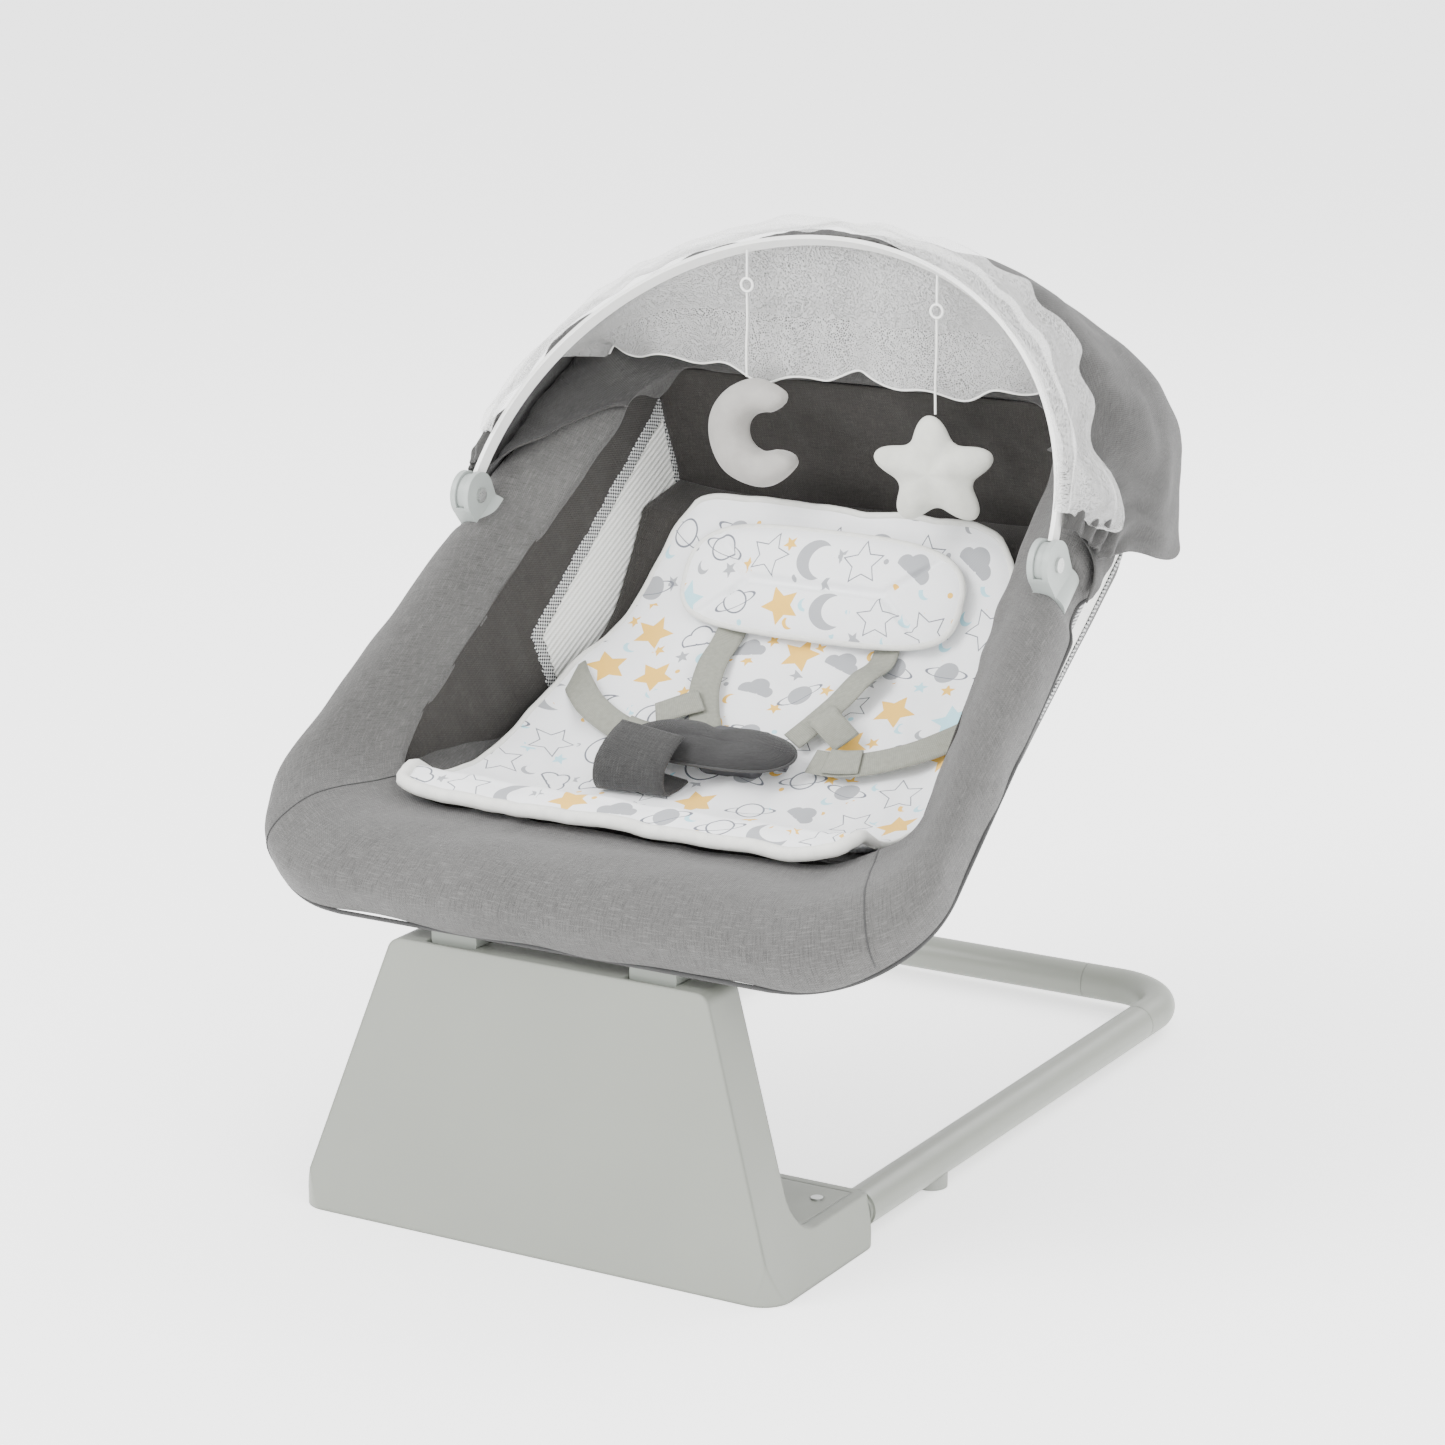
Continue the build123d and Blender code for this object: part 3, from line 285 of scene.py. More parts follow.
def put(graph, slot, value):
    if isinstance(value, Number):
        graph.links.new(value.socket, slot)
    elif isinstance(value, bpy.types.NodeSocket):
        graph.links.new(value, slot)
    elif isinstance(value, (tuple, list)) and slot.type == "RGBA":
        slot.default_value = tuple(value) + (1.0,) * (4 - len(value))
    else:
        slot.default_value = value


class Graph:
    # A material's nodes.
    def __init__(self, name):
        self.material = bpy.data.materials.new(name)
        self.material.use_nodes = True
        self.tree = self.material.node_tree
        self.nodes = self.tree.nodes
        self.links = self.tree.links
        self.shader = self.nodes["Principled BSDF"]

    def add(self, kind, inputs=None, out=0, **settings):
        node = self.nodes.new("ShaderNode" + kind)
        for key, value in settings.items():
            setattr(node, key, value)
        for key, value in (inputs or {}).items():
            put(self, node.inputs[key], value)
        return node.outputs[out]

    def place(self, uv=True):
        # The piece's own coordinates as three numbers.
        if uv:
            source = self.add("UVMap", uv_map="weave")
        else:
            source = self.add("TexCoord", out=3)
        parts = self.nodes.new("ShaderNodeSeparateXYZ")
        self.links.new(source, parts.inputs[0])
        return [Number(self, output) for output in parts.outputs]

    def join(self, x, y, z=0.0):
        return self.add("CombineXYZ", {0: x, 1: y, 2: z})

    def noise(self, vector, scale, detail=3.0, rough=0.55):
        inputs = {"Vector": vector, "Scale": scale, "Detail": detail, "Roughness": rough}
        return Number(self, self.add("TexNoise", inputs))

    def ramp(self, value, low, high, start=0.0, end=1.0):
        return Number(self, self.add("MapRange", {0: value, 1: low, 2: high, 3: start, 4: end}))

    def mix(self, share, first, second):
        return self.add("Mix", {0: share, 6: first, 7: second}, out=2, data_type="RGBA")

    def bump(self, height, strength, distance):
        return self.add("Bump", {"Height": height, "Strength": strength, "Distance": distance})

    def finish(self, **inputs):
        for key, value in inputs.items():
            put(self, self.shader.inputs[key.replace("_", " ")], value)
        return self.material


def melange(name, dark, light, dye=1.0, slub=1.0):
    # Slubbed canvas. Threads: noise stretched 12 to 1 along each thread way, dark and light ones apart.
    # Height: the product of two sine waves 0.9 mm long plus the same threads.
    g = Graph(name)
    x, y, _ = g.place()
    warp = g.noise(g.join(x * 1100, y * 95), 1.0, 2.0)
    weft = g.noise(g.join(x * 90, y * 1150), 1.0, 2.0)
    fine = g.noise(g.join(x * 700, y * 700), 1.0, 2.0)
    cloud = g.noise(g.join(x * 9, y * 9), 1.0, 2.0)
    lightWarp = g.ramp(warp, 0.50, 0.74)
    darkWeft = g.ramp(weft, 0.46, 0.72)
    tone = g.ramp(fine, 0.25, 0.75, 0.38, 0.60) + lightWarp * 0.40 * slub - darkWeft * 0.30 * slub
    tone = tone + g.ramp(cloud, 0.3, 0.7, -0.07, 0.07)
    colour = g.mix(tone, dark, light)
    weave = (x * 3490).sine() * (y * 3490).sine()
    height = weave * 0.4 + warp * 1.2 + weft * 1.2
    normal = g.bump(height, 0.55, 0.0006)
    return g.finish(
        Base_Color=colour, Roughness=0.92, Normal=normal,
        Sheen_Weight=0.18 * dye, Sheen_Roughness=0.5, Specular_IOR_Level=0.15,
    )


def plastic(name, colour, rough=0.42, grain=0.12, soft=0.0):
    # Moulded plastic or paint. Colour drifts by a slow noise, roughness by a quicker one, and a fine
    # grain of 0.5 mm is the height. The corners are softened by the bevel node where asked.
    g = Graph(name)
    x, y, z = g.place(False)
    where = g.join(x, y, z)
    slow = g.noise(where, 7.0, 2.0)
    quick = g.noise(where, 60.0, 3.0)
    grainy = g.noise(where, 1900.0, 1.0)
    lighter = [min(1, c * 1.035) for c in colour]
    darker = [c * 0.965 for c in colour]
    normal = g.bump(grainy, grain, 0.0002)
    if soft:
        corner = g.add("Bevel", {"Radius": soft}, samples=3)
        g.links.new(corner, normal.node.inputs["Normal"])
    return g.finish(
        Base_Color=g.mix(g.ramp(slow, 0.3, 0.7), darker, lighter),
        Roughness=g.ramp(quick, 0.2, 0.8, rough - 0.05, rough + 0.06),
        Normal=normal,
    )


def webbing(name, colour):
    # Woven tape. Ribs run across it, 1.3 mm apart, broken into rows 0.9 mm wide; the edges are denser.
    g = Graph(name)
    x, y, _ = g.place()
    row = (x * 7000).sine()
    rib = ((y * 4800) + row * 1.2).sine()
    edge = g.ramp(x.size(), 0.0078, 0.0092)
    dirt = g.noise(g.join(x * 260, y * 260), 1.0, 3.0)
    tone = rib * 0.16 + row * 0.08 + g.ramp(dirt, 0.3, 0.7, 0.36, 0.64)
    tone = tone - edge * 0.12
    colourOut = g.mix(tone, [c * 0.66 for c in colour], [min(1, c * 1.25) for c in colour])
    normal = g.bump(rib * 0.5 + row * 0.35, 0.6, 0.0005)
    return g.finish(Base_Color=colourOut, Roughness=0.8, Normal=normal, Sheen_Weight=0.1,
                    Specular_IOR_Level=0.25)


def printedCotton(name):
    # White cotton with a print. The cloth is cut into brick-laid cells, each with a seeded star, crescent,
    # cloud or ringed planet, filled or in outline, and smaller dots and stars stand between them.
    g = Graph(name)
    x, y, _ = g.place()

    def cells(size, shiftX, shiftY, drift):
        down = y / size + shiftY
        row = down.whole()
        across = x / size + shiftX + (row * 0.5).rest()
        column = across.whole()
        seed = g.join(column, row, size * 100)
        chance = g.nodes.new("ShaderNodeTexWhiteNoise")
        chance.noise_dimensions = "3D"
        g.links.new(seed, chance.inputs[0])
        parts = g.nodes.new("ShaderNodeSeparateXYZ")
        g.links.new(chance.outputs[1], parts.inputs[0])
        first, second, third = (Number(g, output) for output in parts.outputs)
        px = across.rest() - 0.5 + (first - 0.5) * drift
        py = down.rest() - 0.5 + (second - 0.5) * drift
        turn = (third - 0.5) * 1.5
        c, s = turn.cosine(), turn.sine()
        qx = px * c - py * s
        qy = px * s + py * c
        return qx, qy, first, second, third

    def star(px, py, reach, waist):
        # Distance to a five-pointed star, as a share of its own edge.
        r = (px * px + py * py).root()
        step = 2 * math.pi / 5
        t = ((px.angle(py) / step).rest() - 0.5).size() * step
        edge = math.sin(step / 2) * reach * waist
        limit = (t * -1 + step / 2).sine() * reach + t.sine() * waist
        return r * limit / edge - 1

    def circle(px, py, cx, cy, radius):
        dx, dy = px - cx, py - cy
        return (dx * dx + dy * dy).root() - radius

    qx, qy, first, second, third = cells(0.038, 0.13, 0.21, 0.16)
    kind = (first * 7.31 + second * 3.7).rest()
    hue = (second * 9.17 + third * 2.3).rest()
    starShape = star(qx, qy, 0.40, 0.20) * 0.3
    moonShape = circle(qx, qy, 0, 0, 0.36).highest(circle(qx, qy, 0.17, 0.10, 0.30) * -1)
    cloudShape = circle(qx, qy, -0.2, -0.04, 0.15).lowest(circle(qx, qy, 0.02, 0.06, 0.21))
    cloudShape = cloudShape.lowest(circle(qx, qy, 0.23, -0.03, 0.14)).highest(qy * -1 - 0.14)
    planetShape = circle(qx, qy, 0, 0, 0.23)
    ringShape = ((qx * qx + qy * qy * 14).root() - 0.42).size() - 0.028
    ringHidden = planetShape.below(0) * qy.above(0)
    isStar = kind.below(0.34)
    isMoon = kind.above(0.34) * kind.below(0.54)
    isCloud = kind.above(0.54) * kind.below(0.78)
    isPlanet = kind.above(0.78)
    shape = starShape * isStar + moonShape * isMoon + cloudShape * isCloud + planetShape * isPlanet
    inside = shape.below(0)
    line = shape.size().below(0.017)
    ring = ringShape.below(0) * isPlanet * (ringHidden * -1 + 1)
    filled = hue.below(0.62)
    grey = (0.36, 0.37, 0.39)
    mustard = (0.86, 0.52, 0.10)
    blue = (0.42, 0.74, 0.84)
    paper = (0.93, 0.94, 0.955)
    ink = (0.16, 0.17, 0.20)
    fill = g.mix(isStar, grey, g.mix(hue.below(0.42), blue, mustard))
    weaveNoise = g.noise(g.join(x * 900, y * 900), 1.0, 2.0)
    base = g.mix(g.ramp(weaveNoise, 0.3, 0.7), [c * 0.97 for c in paper], paper)
    colour = g.mix(inside * filled, base, fill)
    colour = g.mix((line * (filled * -1 + 1)).highest(ring), colour, ink)
    sx, sy, a, b, c = cells(0.019, 0.41, 0.63, 0.40)
    sprinkle = (a * 5.7 + c * 3.1).rest()
    free = shape.above(0.09) * (ring * -1 + 1)
    dot = circle(sx, sy, 0, 0, 0.10).below(0) * sprinkle.below(0.16)
    tinyStar = star(sx, sy, 0.30, 0.13).below(0) * sprinkle.above(0.62) * sprinkle.below(0.84)
    tinyMoon = circle(sx, sy, 0, 0, 0.26).highest(circle(sx, sy, 0.13, 0.06, 0.24) * -1).below(0)
    tinyMoon = tinyMoon * sprinkle.above(0.84)
    tinyColour = g.mix(b.below(0.5), g.mix(b.below(0.75), grey, blue), mustard)
    colour = g.mix((dot.highest(tinyStar).highest(tinyMoon)) * free, colour, tinyColour)
    weave = (x * 5200).sine() * (y * 5200).sine()
    normal = g.bump(weave + g.noise(g.join(x * 55, y * 55), 1.0, 2.0) * 2.5, 0.3, 0.0005)
    return g.finish(Base_Color=colour, Roughness=0.85, Normal=normal, Sheen_Weight=0.1,
                    Specular_IOR_Level=0.2)


def plainCloth(name, colour, pitch=0.0007, rough=0.85, sheen=0.15):
    # Plain weave. Height is the product of two sine waves, one thread apart; colour drifts by noise.
    g = Graph(name)
    x, y, _ = g.place()
    turns = 2 * math.pi / pitch
    weave = (x * turns).sine() * (y * turns).sine()
    soft = g.noise(g.join(x * 120, y * 120), 1.0, 3.0)
    tone = g.ramp(soft, 0.3, 0.7) * 0.7 + weave * 0.15 + 0.15
    colourOut = g.mix(tone, [c * 0.88 for c in colour], [min(1, c * 1.06) for c in colour])
    return g.finish(Base_Color=colourOut, Roughness=rough, Normal=g.bump(weave + soft * 2, 0.35, 0.0004),
                    Sheen_Weight=sheen, Specular_IOR_Level=0.2)


def ribbedMesh(name):
    # White air mesh. Ribs 4 mm apart along one way, small round holes between them at 2 mm.
    g = Graph(name)
    x, y, _ = g.place()
    rib = (x * 1571).sine()
    hole = (x * 3142).sine() * (y * 3142).sine()
    dark = hole.above(0.45)
    tone = g.ramp(rib, -1.0, 1.0, 0.55, 1.0) - dark * 0.35
    colour = g.mix(tone, (0.66, 0.68, 0.63), (0.96, 0.96, 0.93))
    return g.finish(Base_Color=colour, Roughness=0.7, Normal=g.bump(rib - dark, 0.5, 0.0008),
                    Subsurface_Weight=0.0)


def checkBinding(name):
    # Net tape. A checker of black and white, 1.7 mm squares.
    g = Graph(name)
    x, y, _ = g.place()
    square = ((x * 588).whole() + (y * 588).whole()) * 0.5
    light = square.rest().above(0.25)
    return g.finish(Base_Color=g.mix(light, (0.045, 0.045, 0.05), (0.62, 0.63, 0.62)), Roughness=0.8,
                    Normal=g.bump(light, 0.5, 0.0005))


def sheerNet(name):
    # Tulle. Cells of a Voronoi pattern 1.4 mm across: threads are white, holes clear.
    g = Graph(name)
    x, y, _ = g.place()
    cell = g.add("TexVoronoi", {"Vector": g.join(x * 700, y * 700), "Scale": 1.0}, feature="DISTANCE_TO_EDGE")
    thread = g.ramp(Number(g, cell), 0.10, 0.22, 1.0, 0.0)
    drift = g.noise(g.join(x * 14, y * 14), 1.0, 2.0)
    alpha = thread * 0.22 + g.ramp(drift, 0.3, 0.7, 0.04, 0.10)
    return g.finish(Base_Color=(0.93, 0.93, 0.92), Roughness=0.6, Alpha=alpha, Sheen_Weight=0.2)


def plush(name, colour):
    # Short pile. Height and tone come from fine noise in the piece's own coordinates.
    g = Graph(name)
    x, y, z = g.place(False)
    where = g.join(x, y, z)
    pile = g.noise(where, 1400.0, 2.0)
    lie = g.noise(where, 70.0, 2.0)
    tone = g.ramp(lie, 0.3, 0.7) * 0.6 + pile * 0.4
    return g.finish(Base_Color=g.mix(tone, [c * 0.86 for c in colour], [min(1, c * 1.08) for c in colour]),
                    Roughness=0.95, Normal=g.bump(pile + lie, 0.5, 0.0008),
                    Sheen_Weight=0.55, Sheen_Roughness=0.35,
                    Specular_IOR_Level=0.1)


def steel(name, colour):
    # Plated steel. Fine scratches: noise stretched 30 to 1.
    g = Graph(name)
    x, y, z = g.place(False)
    scratch = g.noise(g.join(x * 40, y * 1200, z * 1200), 1.0, 2.0)
    return g.finish(Base_Color=colour, Metallic=1.0, Roughness=g.ramp(scratch, 0.3, 0.7, 0.25, 0.42),
                    Normal=g.bump(scratch, 0.1, 0.0001))


sage = (0.200, 0.211, 0.184)
finishes = {
    "sage_plastic": plastic("sagePlastic", sage, 0.40, 0.10, 0.0035),
    "sage_tube": plastic("sageTube", sage, 0.36, 0.05),
    "foot_rubber": plastic("footRubber", (0.23, 0.24, 0.22), 0.7, 0.3),
    "screw_steel": steel("screwSteel", (0.55, 0.56, 0.55)),
    "rim_steel": plastic("rimSteel", (0.2, 0.2, 0.2), 0.4, 0.05),
    "pivot_plastic": plastic("pivotPlastic", (0.27, 0.29, 0.26), 0.45, 0.1),
    "grey_melange": melange("greyMelange", (0.042, 0.041, 0.040), (0.150, 0.148, 0.144)),
    # painted shade: the rim cover's grey mélange made darker for the hood and the tub's outside, which lie in
    # shade
    "hood_fabric": melange("shadedHoodFabric", (0.024, 0.023, 0.023), (0.096, 0.095, 0.092)),
    "tub_fabric": melange("tubFabric", (0.019, 0.018, 0.017), (0.060, 0.056, 0.052), 0.7, 0.7),
    "window_mesh": ribbedMesh("windowMesh"),
    "printed_cotton": printedCotton("printedCotton"),
    "webbing": webbing("webbing", (0.285, 0.290, 0.245)),
    "crotch_fabric": melange("crotchFabric", (0.018, 0.018, 0.018), (0.070, 0.069, 0.068), 0.8, 0.8),
    "cover_fabric": melange("coverFabric", (0.015, 0.015, 0.016), (0.056, 0.055, 0.055), 0.8, 0.8),
    "buckle_plastic": plastic("bucklePlastic", (0.06, 0.06, 0.065), 0.35, 0.1),
    "clip_plastic": plastic("clipPlastic", (0.33, 0.36, 0.345), 0.42, 0.1),
    "hoop_plastic": plastic("hoopPlastic", (0.86, 0.86, 0.84), 0.35, 0.05),
    "net_tulle": sheerNet("netTulle"),
    "grey_plush": plush("greyPlush", (0.37, 0.358, 0.338)),
    "cream_plush": plush("creamPlush", (0.61, 0.615, 0.56)),
    "toy_string": plainCloth("toyString", (0.85, 0.85, 0.82), 0.0009),
    "ring_plastic": plastic("ringPlastic", (0.85, 0.85, 0.83), 0.3, 0.02),
}
pipingCloth = plainCloth("pipingCloth", (0.80, 0.80, 0.76))
bindingCloth = checkBinding("bindingCloth")
darkPiping = plainCloth("darkPiping", (0.05, 0.05, 0.05))
for entry in frame["record"]["subparts"]:
    mesh = frame["nodes"][entry["node"]].data
    mesh.materials.clear()
    mesh.materials.append(finishes[entry["material_slot"]])
print("materials made")


def dress(piece, slot, body="seat", replaced=(), material=None):
    piece.data.materials.append(material or finishes[slot])
    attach(piece, body)
    if replaced:
        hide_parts(*replaced)
    return piece

# Rim cover.
def cornerCurve(a, corner, b, amount, steps):
    # A round corner between two straight runs.
    a, corner, b = (np.asarray(p, float) for p in (a, corner, b))
    start = corner + (a - corner) / np.linalg.norm(a - corner) * amount
    end = corner + (b - corner) / np.linalg.norm(b - corner) * amount
    t = np.linspace(0, 1, steps, endpoint=False)[:, None]
    first, second = start + (corner - start) * 0.55, end + (corner - end) * 0.55
    return (1 - t)**3 * start + 3 * (1 - t)**2 * t * first + 3 * (1 - t) * t**2 * second + t**3 * end


def rimLoop(front, head, frontV, headV, frontRound, headRound):
    # A rounded loop that narrows to the head: from the head's middle, right side, front, left side.
    top, headCorner = (0, headV), (head, headV)
    frontCorner, bottom = (front, frontV), (0, frontV)
    headArc = cornerCurve(top, headCorner, frontCorner, headRound, 22)
    frontArc = cornerCurve(headCorner, frontCorner, bottom, frontRound, 28)

    def run(p, q, steps):
        t = np.linspace(0, 1, steps, endpoint=False)[:, None]
        return np.asarray(p, float) * (1 - t) + np.asarray(q, float) * t

    joinHead = headArc[-1] * 2 - headArc[-2]
    joinFront = frontArc[-1] * 2 - frontArc[-2]
    half = np.concatenate([run(top, headArc[0], 34), headArc, run(joinHead, frontArc[0], 92), frontArc,
                           run(joinFront, bottom, 46), [bottom]])
    return np.concatenate([half, half[-2:0:-1] * [-1, 1]])


cover = {
    "seamDepth": ([120, 160, 230, 330, 430, 515], [-28, -26, -20, -12, -3, 2]),
    "apron": -25.0,
    "clipV": 346.0,
}
outerLoop = rimLoop(*rim["outer"])
innerLoop = rimLoop(*rim["inner"])
seamN = np.interp(innerLoop[:, 1], *cover["seamDepth"])
# the cover is drawn in under each canopy clip
pinch = np.exp(-((outerLoop[:, 1] - cover["clipV"]) / 17)**4) * (np.abs(outerLoop[:, 0]) > 150)
outward = outerLoop - innerLoop
wide = np.linalg.norm(outward, axis=1)
outward /= wide[:, None]


def sectionPoint(e, n):
    # One line of the cover's section: e in from the outer edge, n above the rim's plane.
    return np.stack(np.broadcast_arrays(e, n, wide)[:2], -1)


top = 12 - pinch * 2.5
section = np.stack([
    sectionPoint(wide, seamN),
    sectionPoint(wide * 0.80, seamN * 0.74 + top * 0.26 + 2.2),
    sectionPoint(wide * 0.58, seamN * 0.38 + top * 0.62 + 4.2),
    sectionPoint(wide * 0.38, seamN * 0.12 + top * 0.88 + 3.6),
    sectionPoint(wide * 0.20 + pinch * 10, top + 0.6 + seamN * 0.03),
    sectionPoint(wide * 0.085 + pinch * 13, top - 3.2),
    sectionPoint(1.8 + pinch * 11, top - 10),
    sectionPoint(0.0 + pinch * 9, top - 19),
    sectionPoint(0.5 + pinch * 9, cover["apron"] + 7),
    sectionPoint(3.5 + pinch * 8, cover["apron"]),
    sectionPoint(14, cover["apron"] - 1),
    sectionPoint(wide * 0.45, cover["apron"] - 1 + np.minimum(seamN, -10) * 0.15),
    sectionPoint(wide * 0.8, np.minimum(seamN - 7, cover["apron"])),
    sectionPoint(wide - 1, np.minimum(seamN - 5, seamN - 5)),
], 0)
count = 56
line = np.array([smoothLine(section[:, k], count, True) for k in range(section.shape[1])])
flat = outerLoop[:, None] - outward[:, None] * line[:, :, :1]
band = onRim(flat[..., 0], flat[..., 1], line[..., 1])
normal = facing(band, True)
if (normal[:, 17:21, 2]).sum() < 0:
    normal = -normal
    turned = True
else:
    turned = False
millimetres = band * 1000
fromSeam = np.linalg.norm(flat - innerLoop[:, None], axis=-1)
puckerWhere = np.exp(-(fromSeam / 26)**2)
around = runLength(band, 0)[:, :1] * 1000
pucker = np.sin(around / 9.5 + 2.2 * ripples(millimetres, 120, 3)) * 0.7 * puckerWhere
swell = ripples(millimetres, 95, 1) * 1.3 + ripples(millimetres, 38, 2) * 0.45
band = band + normal * ((swell + pucker) / 1000 * (1 - 0.7 * pinch[:, None]))[..., None]
seamColumns = band[:, :31]
normalOut = normal
if turned:
    band = band[:, ::-1]
along = runLength(np.concatenate([band, band[:1]]), 0).mean(1)
aroundSection = runLength(np.concatenate([band, band[:, :1]], 1), 1)
aroundSection = np.concatenate([aroundSection, aroundSection[:1]])
uv = np.stack([aroundSection, np.repeat(along[:, None], aroundSection.shape[1], 1)], -1)
rimCover = gridPiece("rimCover", band, uv=uv, wrap=True, ring=True)
rimCover.modifiers.new("smooth", "SUBSURF").levels = 1
rimCover.modifiers["smooth"].render_levels = 1
dress(rimCover, "grey_melange", replaced=("rim_pad_front", "rim_pad_head", "rim_pad_left", "rim_pad_right"))
print("rim cover made")

# the piping round the cover's lower edge, and a raised seam across each corner
edge = outerLoop - outward * (2.2 + pinch[:, None] * 8)
apronLine = onRim(edge[:, 0], edge[:, 1], cover["apron"] + 1.5)
apronPiping = tubePiece("apronPiping", apronLine, 1.5, 8, closed=True)
dress(apronPiping, "grey_melange", material=darkPiping)
for k, at in enumerate((34 + 11, 34 + 22 + 92 + 14)):
    for side, index in (("right", at), ("left", len(outerLoop) - at)):
        seam = tubePiece(f"mitreSeam{k}{side}", seamColumns[index], 0.6, 6)
        dress(seam, "grey_melange", material=darkPiping)

# Tub: walls, sling and head panel.
padProfile = smoothLine([(128, -20), (140, -24), (152, -46), (186, -81), (235, -98), (293, -102), (361, -103),
                         (405, -86), (444, -64)], 200)


def padDepth(v):
    return np.interp(v, padProfile[:, 0], padProfile[:, 1])


def innerHalf(v):
    return 196 - 33 * (v - 128) / 387


def wallHalf(v, n):
    return innerHalf(v) + 3 - 15 * (-24.4 - n) / 128


def windowDistance(v, n, grow=0.0):
    # Signed distance inside a window's curved three-cornered outline, in millimetres.
    corners = np.array([(507, -31), (306, -66), (290, -135), (468, -135)], float)
    middle = corners.mean(0)
    inside = np.full(np.shape(v), 1e9)
    for a, b in zip(corners, np.roll(corners, -1, 0)):
        way = (b - a) / np.linalg.norm(b - a)
        inner = np.array([-way[1], way[0]])
        if (middle - a) @ inner < 0:
            inner = -inner
        inside = np.minimum(inside, (v - a[0]) * inner[0] + (n - a[1]) * inner[1])
    return inside + grow


wall = {"rows": 200, "cols": 90}
for name, side in (("left", -1), ("right", 1)):
    v = np.linspace(108, 514, wall["rows"])[:, None]
    s = np.linspace(0, 1, wall["cols"])[None, :]
    nTop = np.interp(v, *cover["seamDepth"]) - 1
    nLow = np.minimum(padDepth(np.minimum(v, 444)) - 20, nTop - 4)
    nLow = np.where(v > 450, np.interp(v, [450, 486, 515], [-86, -96, -8]), nLow)
    nLow = np.minimum(nLow, nTop - 6)
    n = nTop + (nLow - nTop) * s
    u = wallHalf(v, n) + (innerHalf(v) + 3.5 - wallHalf(v, nTop)) * (1 - s)**3
    folds = ripples(np.stack(np.broadcast_arrays(v * 1.0, n * 0.25), -1), 34, 11 + side)
    folds = folds * 1.6 * np.clip((v - 300) / 150, 0.35, 1) * np.sin(math.pi * np.clip(s * 1.02, 0, 1))
    folds = folds * np.clip(-windowDistance(v, n) / 15, 0.0, 1) * np.clip(s / 0.15, 0, 1)
    u = u + folds
    points = onRim(side * u, v, n)
    hole = windowDistance(v, n)
    centre = (hole[1:, 1:] + hole[:-1, :-1]) / 2
    uv = np.stack(np.broadcast_arrays(n / 1000, v / 1000), -1)
    panel = gridPiece(f"tubWall_{name}", points, uv=uv, keep=centre < 4)
    thicken(panel, 1.8)
    dress(panel, "tub_fabric", replaced=(f"side_wall_{name}",))
    # the mesh window and its binding tape
    meshPanel = gridPiece(f"meshWindow_{name}", onRim(side * (u - 0.2), v, n), uv=uv, keep=centre > -2)
    thicken(meshPanel, 0.8)
    dress(meshPanel, "window_mesh", replaced=(f"mesh_window_{name}",))
    binding = gridPiece(f"windowBinding_{name}", onRim(side * (u - 0.1), v, n), uv=uv,
                        keep=(centre > -6) & (centre < 4))
    thicken(binding, 3.0)
    dress(binding, "window_mesh", material=bindingCloth)

v = np.linspace(106, 487, 140)[:, None]
s = np.linspace(-1, 1, 60)[None, :]
slingN = padDepth(np.clip(v, 128, 444)) - 16.5 - np.clip(v - 444, 0, 43) * 0.3
slingN = np.minimum(slingN, np.interp(v, [106, 122, 140], [-50, -52, -53]))
half = wallHalf(v, slingN) - 1.5
points = onRim(half * s, v, slingN + 7 * np.abs(s)**6)
sling = gridPiece("slingSheet", points)
thicken(sling, 2.4)
dress(sling, "tub_fabric", replaced=("seat_sling",))

s = np.linspace(-1, 1, 90)[None, :]
t = np.linspace(0, 1, 60)[:, None]
v = 486 + 29 * t
n = -93 + (np.interp(515, *cover["seamDepth"]) - 3 + 93) * t
half = wallHalf(v, n) - 1.2
sag = -3.5 * np.sin(math.pi * t) * np.cos(s * math.pi / 2)
where = np.stack(np.broadcast_arrays(half * s, v * 2.5, n * 0.6), -1)
creases = ripples(where, 46, 21) * 1.7 + ripples(where, 20, 22) * 0.5
creases = creases * np.sin(math.pi * np.clip(t, 0.04, 0.96))
points = onRim(half * s, v + 0.9 * (creases - sag), n - 0.4 * creases)
headPanel = gridPiece("headPanel", points)
thicken(headPanel, 2.2)
dress(headPanel, "tub_fabric", replaced=("head_wall",))
print("tub made")

# the outside of the tub: one sheet from rail to rail, with a window in each side
shell = {"deep": ([132, 170, 230, 290, 466, 505, 540], [0.16, 0.40, 0.78, 1.0, 1.0, 0.72, 0.22])}


def outerHalf(v):
    return 252 - 30 * (v - 12) / 553


v = np.linspace(132, 540, 190)[:, None]
s = np.linspace(-1, 1, 260)[None, :]
across = smoothLine([(0, -158), (70, -157), (118, -152), (158, -141), (186, -110),
                     (203, -72), (214, -44), (221, -22)], 200)
reach = np.linspace(0, 1, 200)
u = np.interp(np.abs(s), reach, across[:, 0])
n = np.interp(np.abs(s), reach, across[:, 1])
deep = np.interp(v, *shell["deep"])
u = u * (1 + (outerHalf(v) - 9 - 221) / 221 * np.clip(np.abs(s), 0, 1)**3)
u = u * (1 - 0.10 * (1 - deep) * (1 - np.abs(s)**6))
headIn = np.clip((v - 478) / 62, 0, 1)**2 * 50
u = u - headIn * np.abs(s)**3
n = -22 + (n + 22) * deep
where = np.stack(np.broadcast_arrays(u * np.sign(s), v * 1.0, n * 1.0), -1)
sagging = ripples(where, 120, 26) * 2.6 + ripples(where, 45, 27) * 1.0
sagging = sagging * np.sin(math.pi * np.clip(np.abs(s) * 0.5 + 0.5, 0, 0.97))
points = onRim(u * np.sign(s), v, n - sagging)


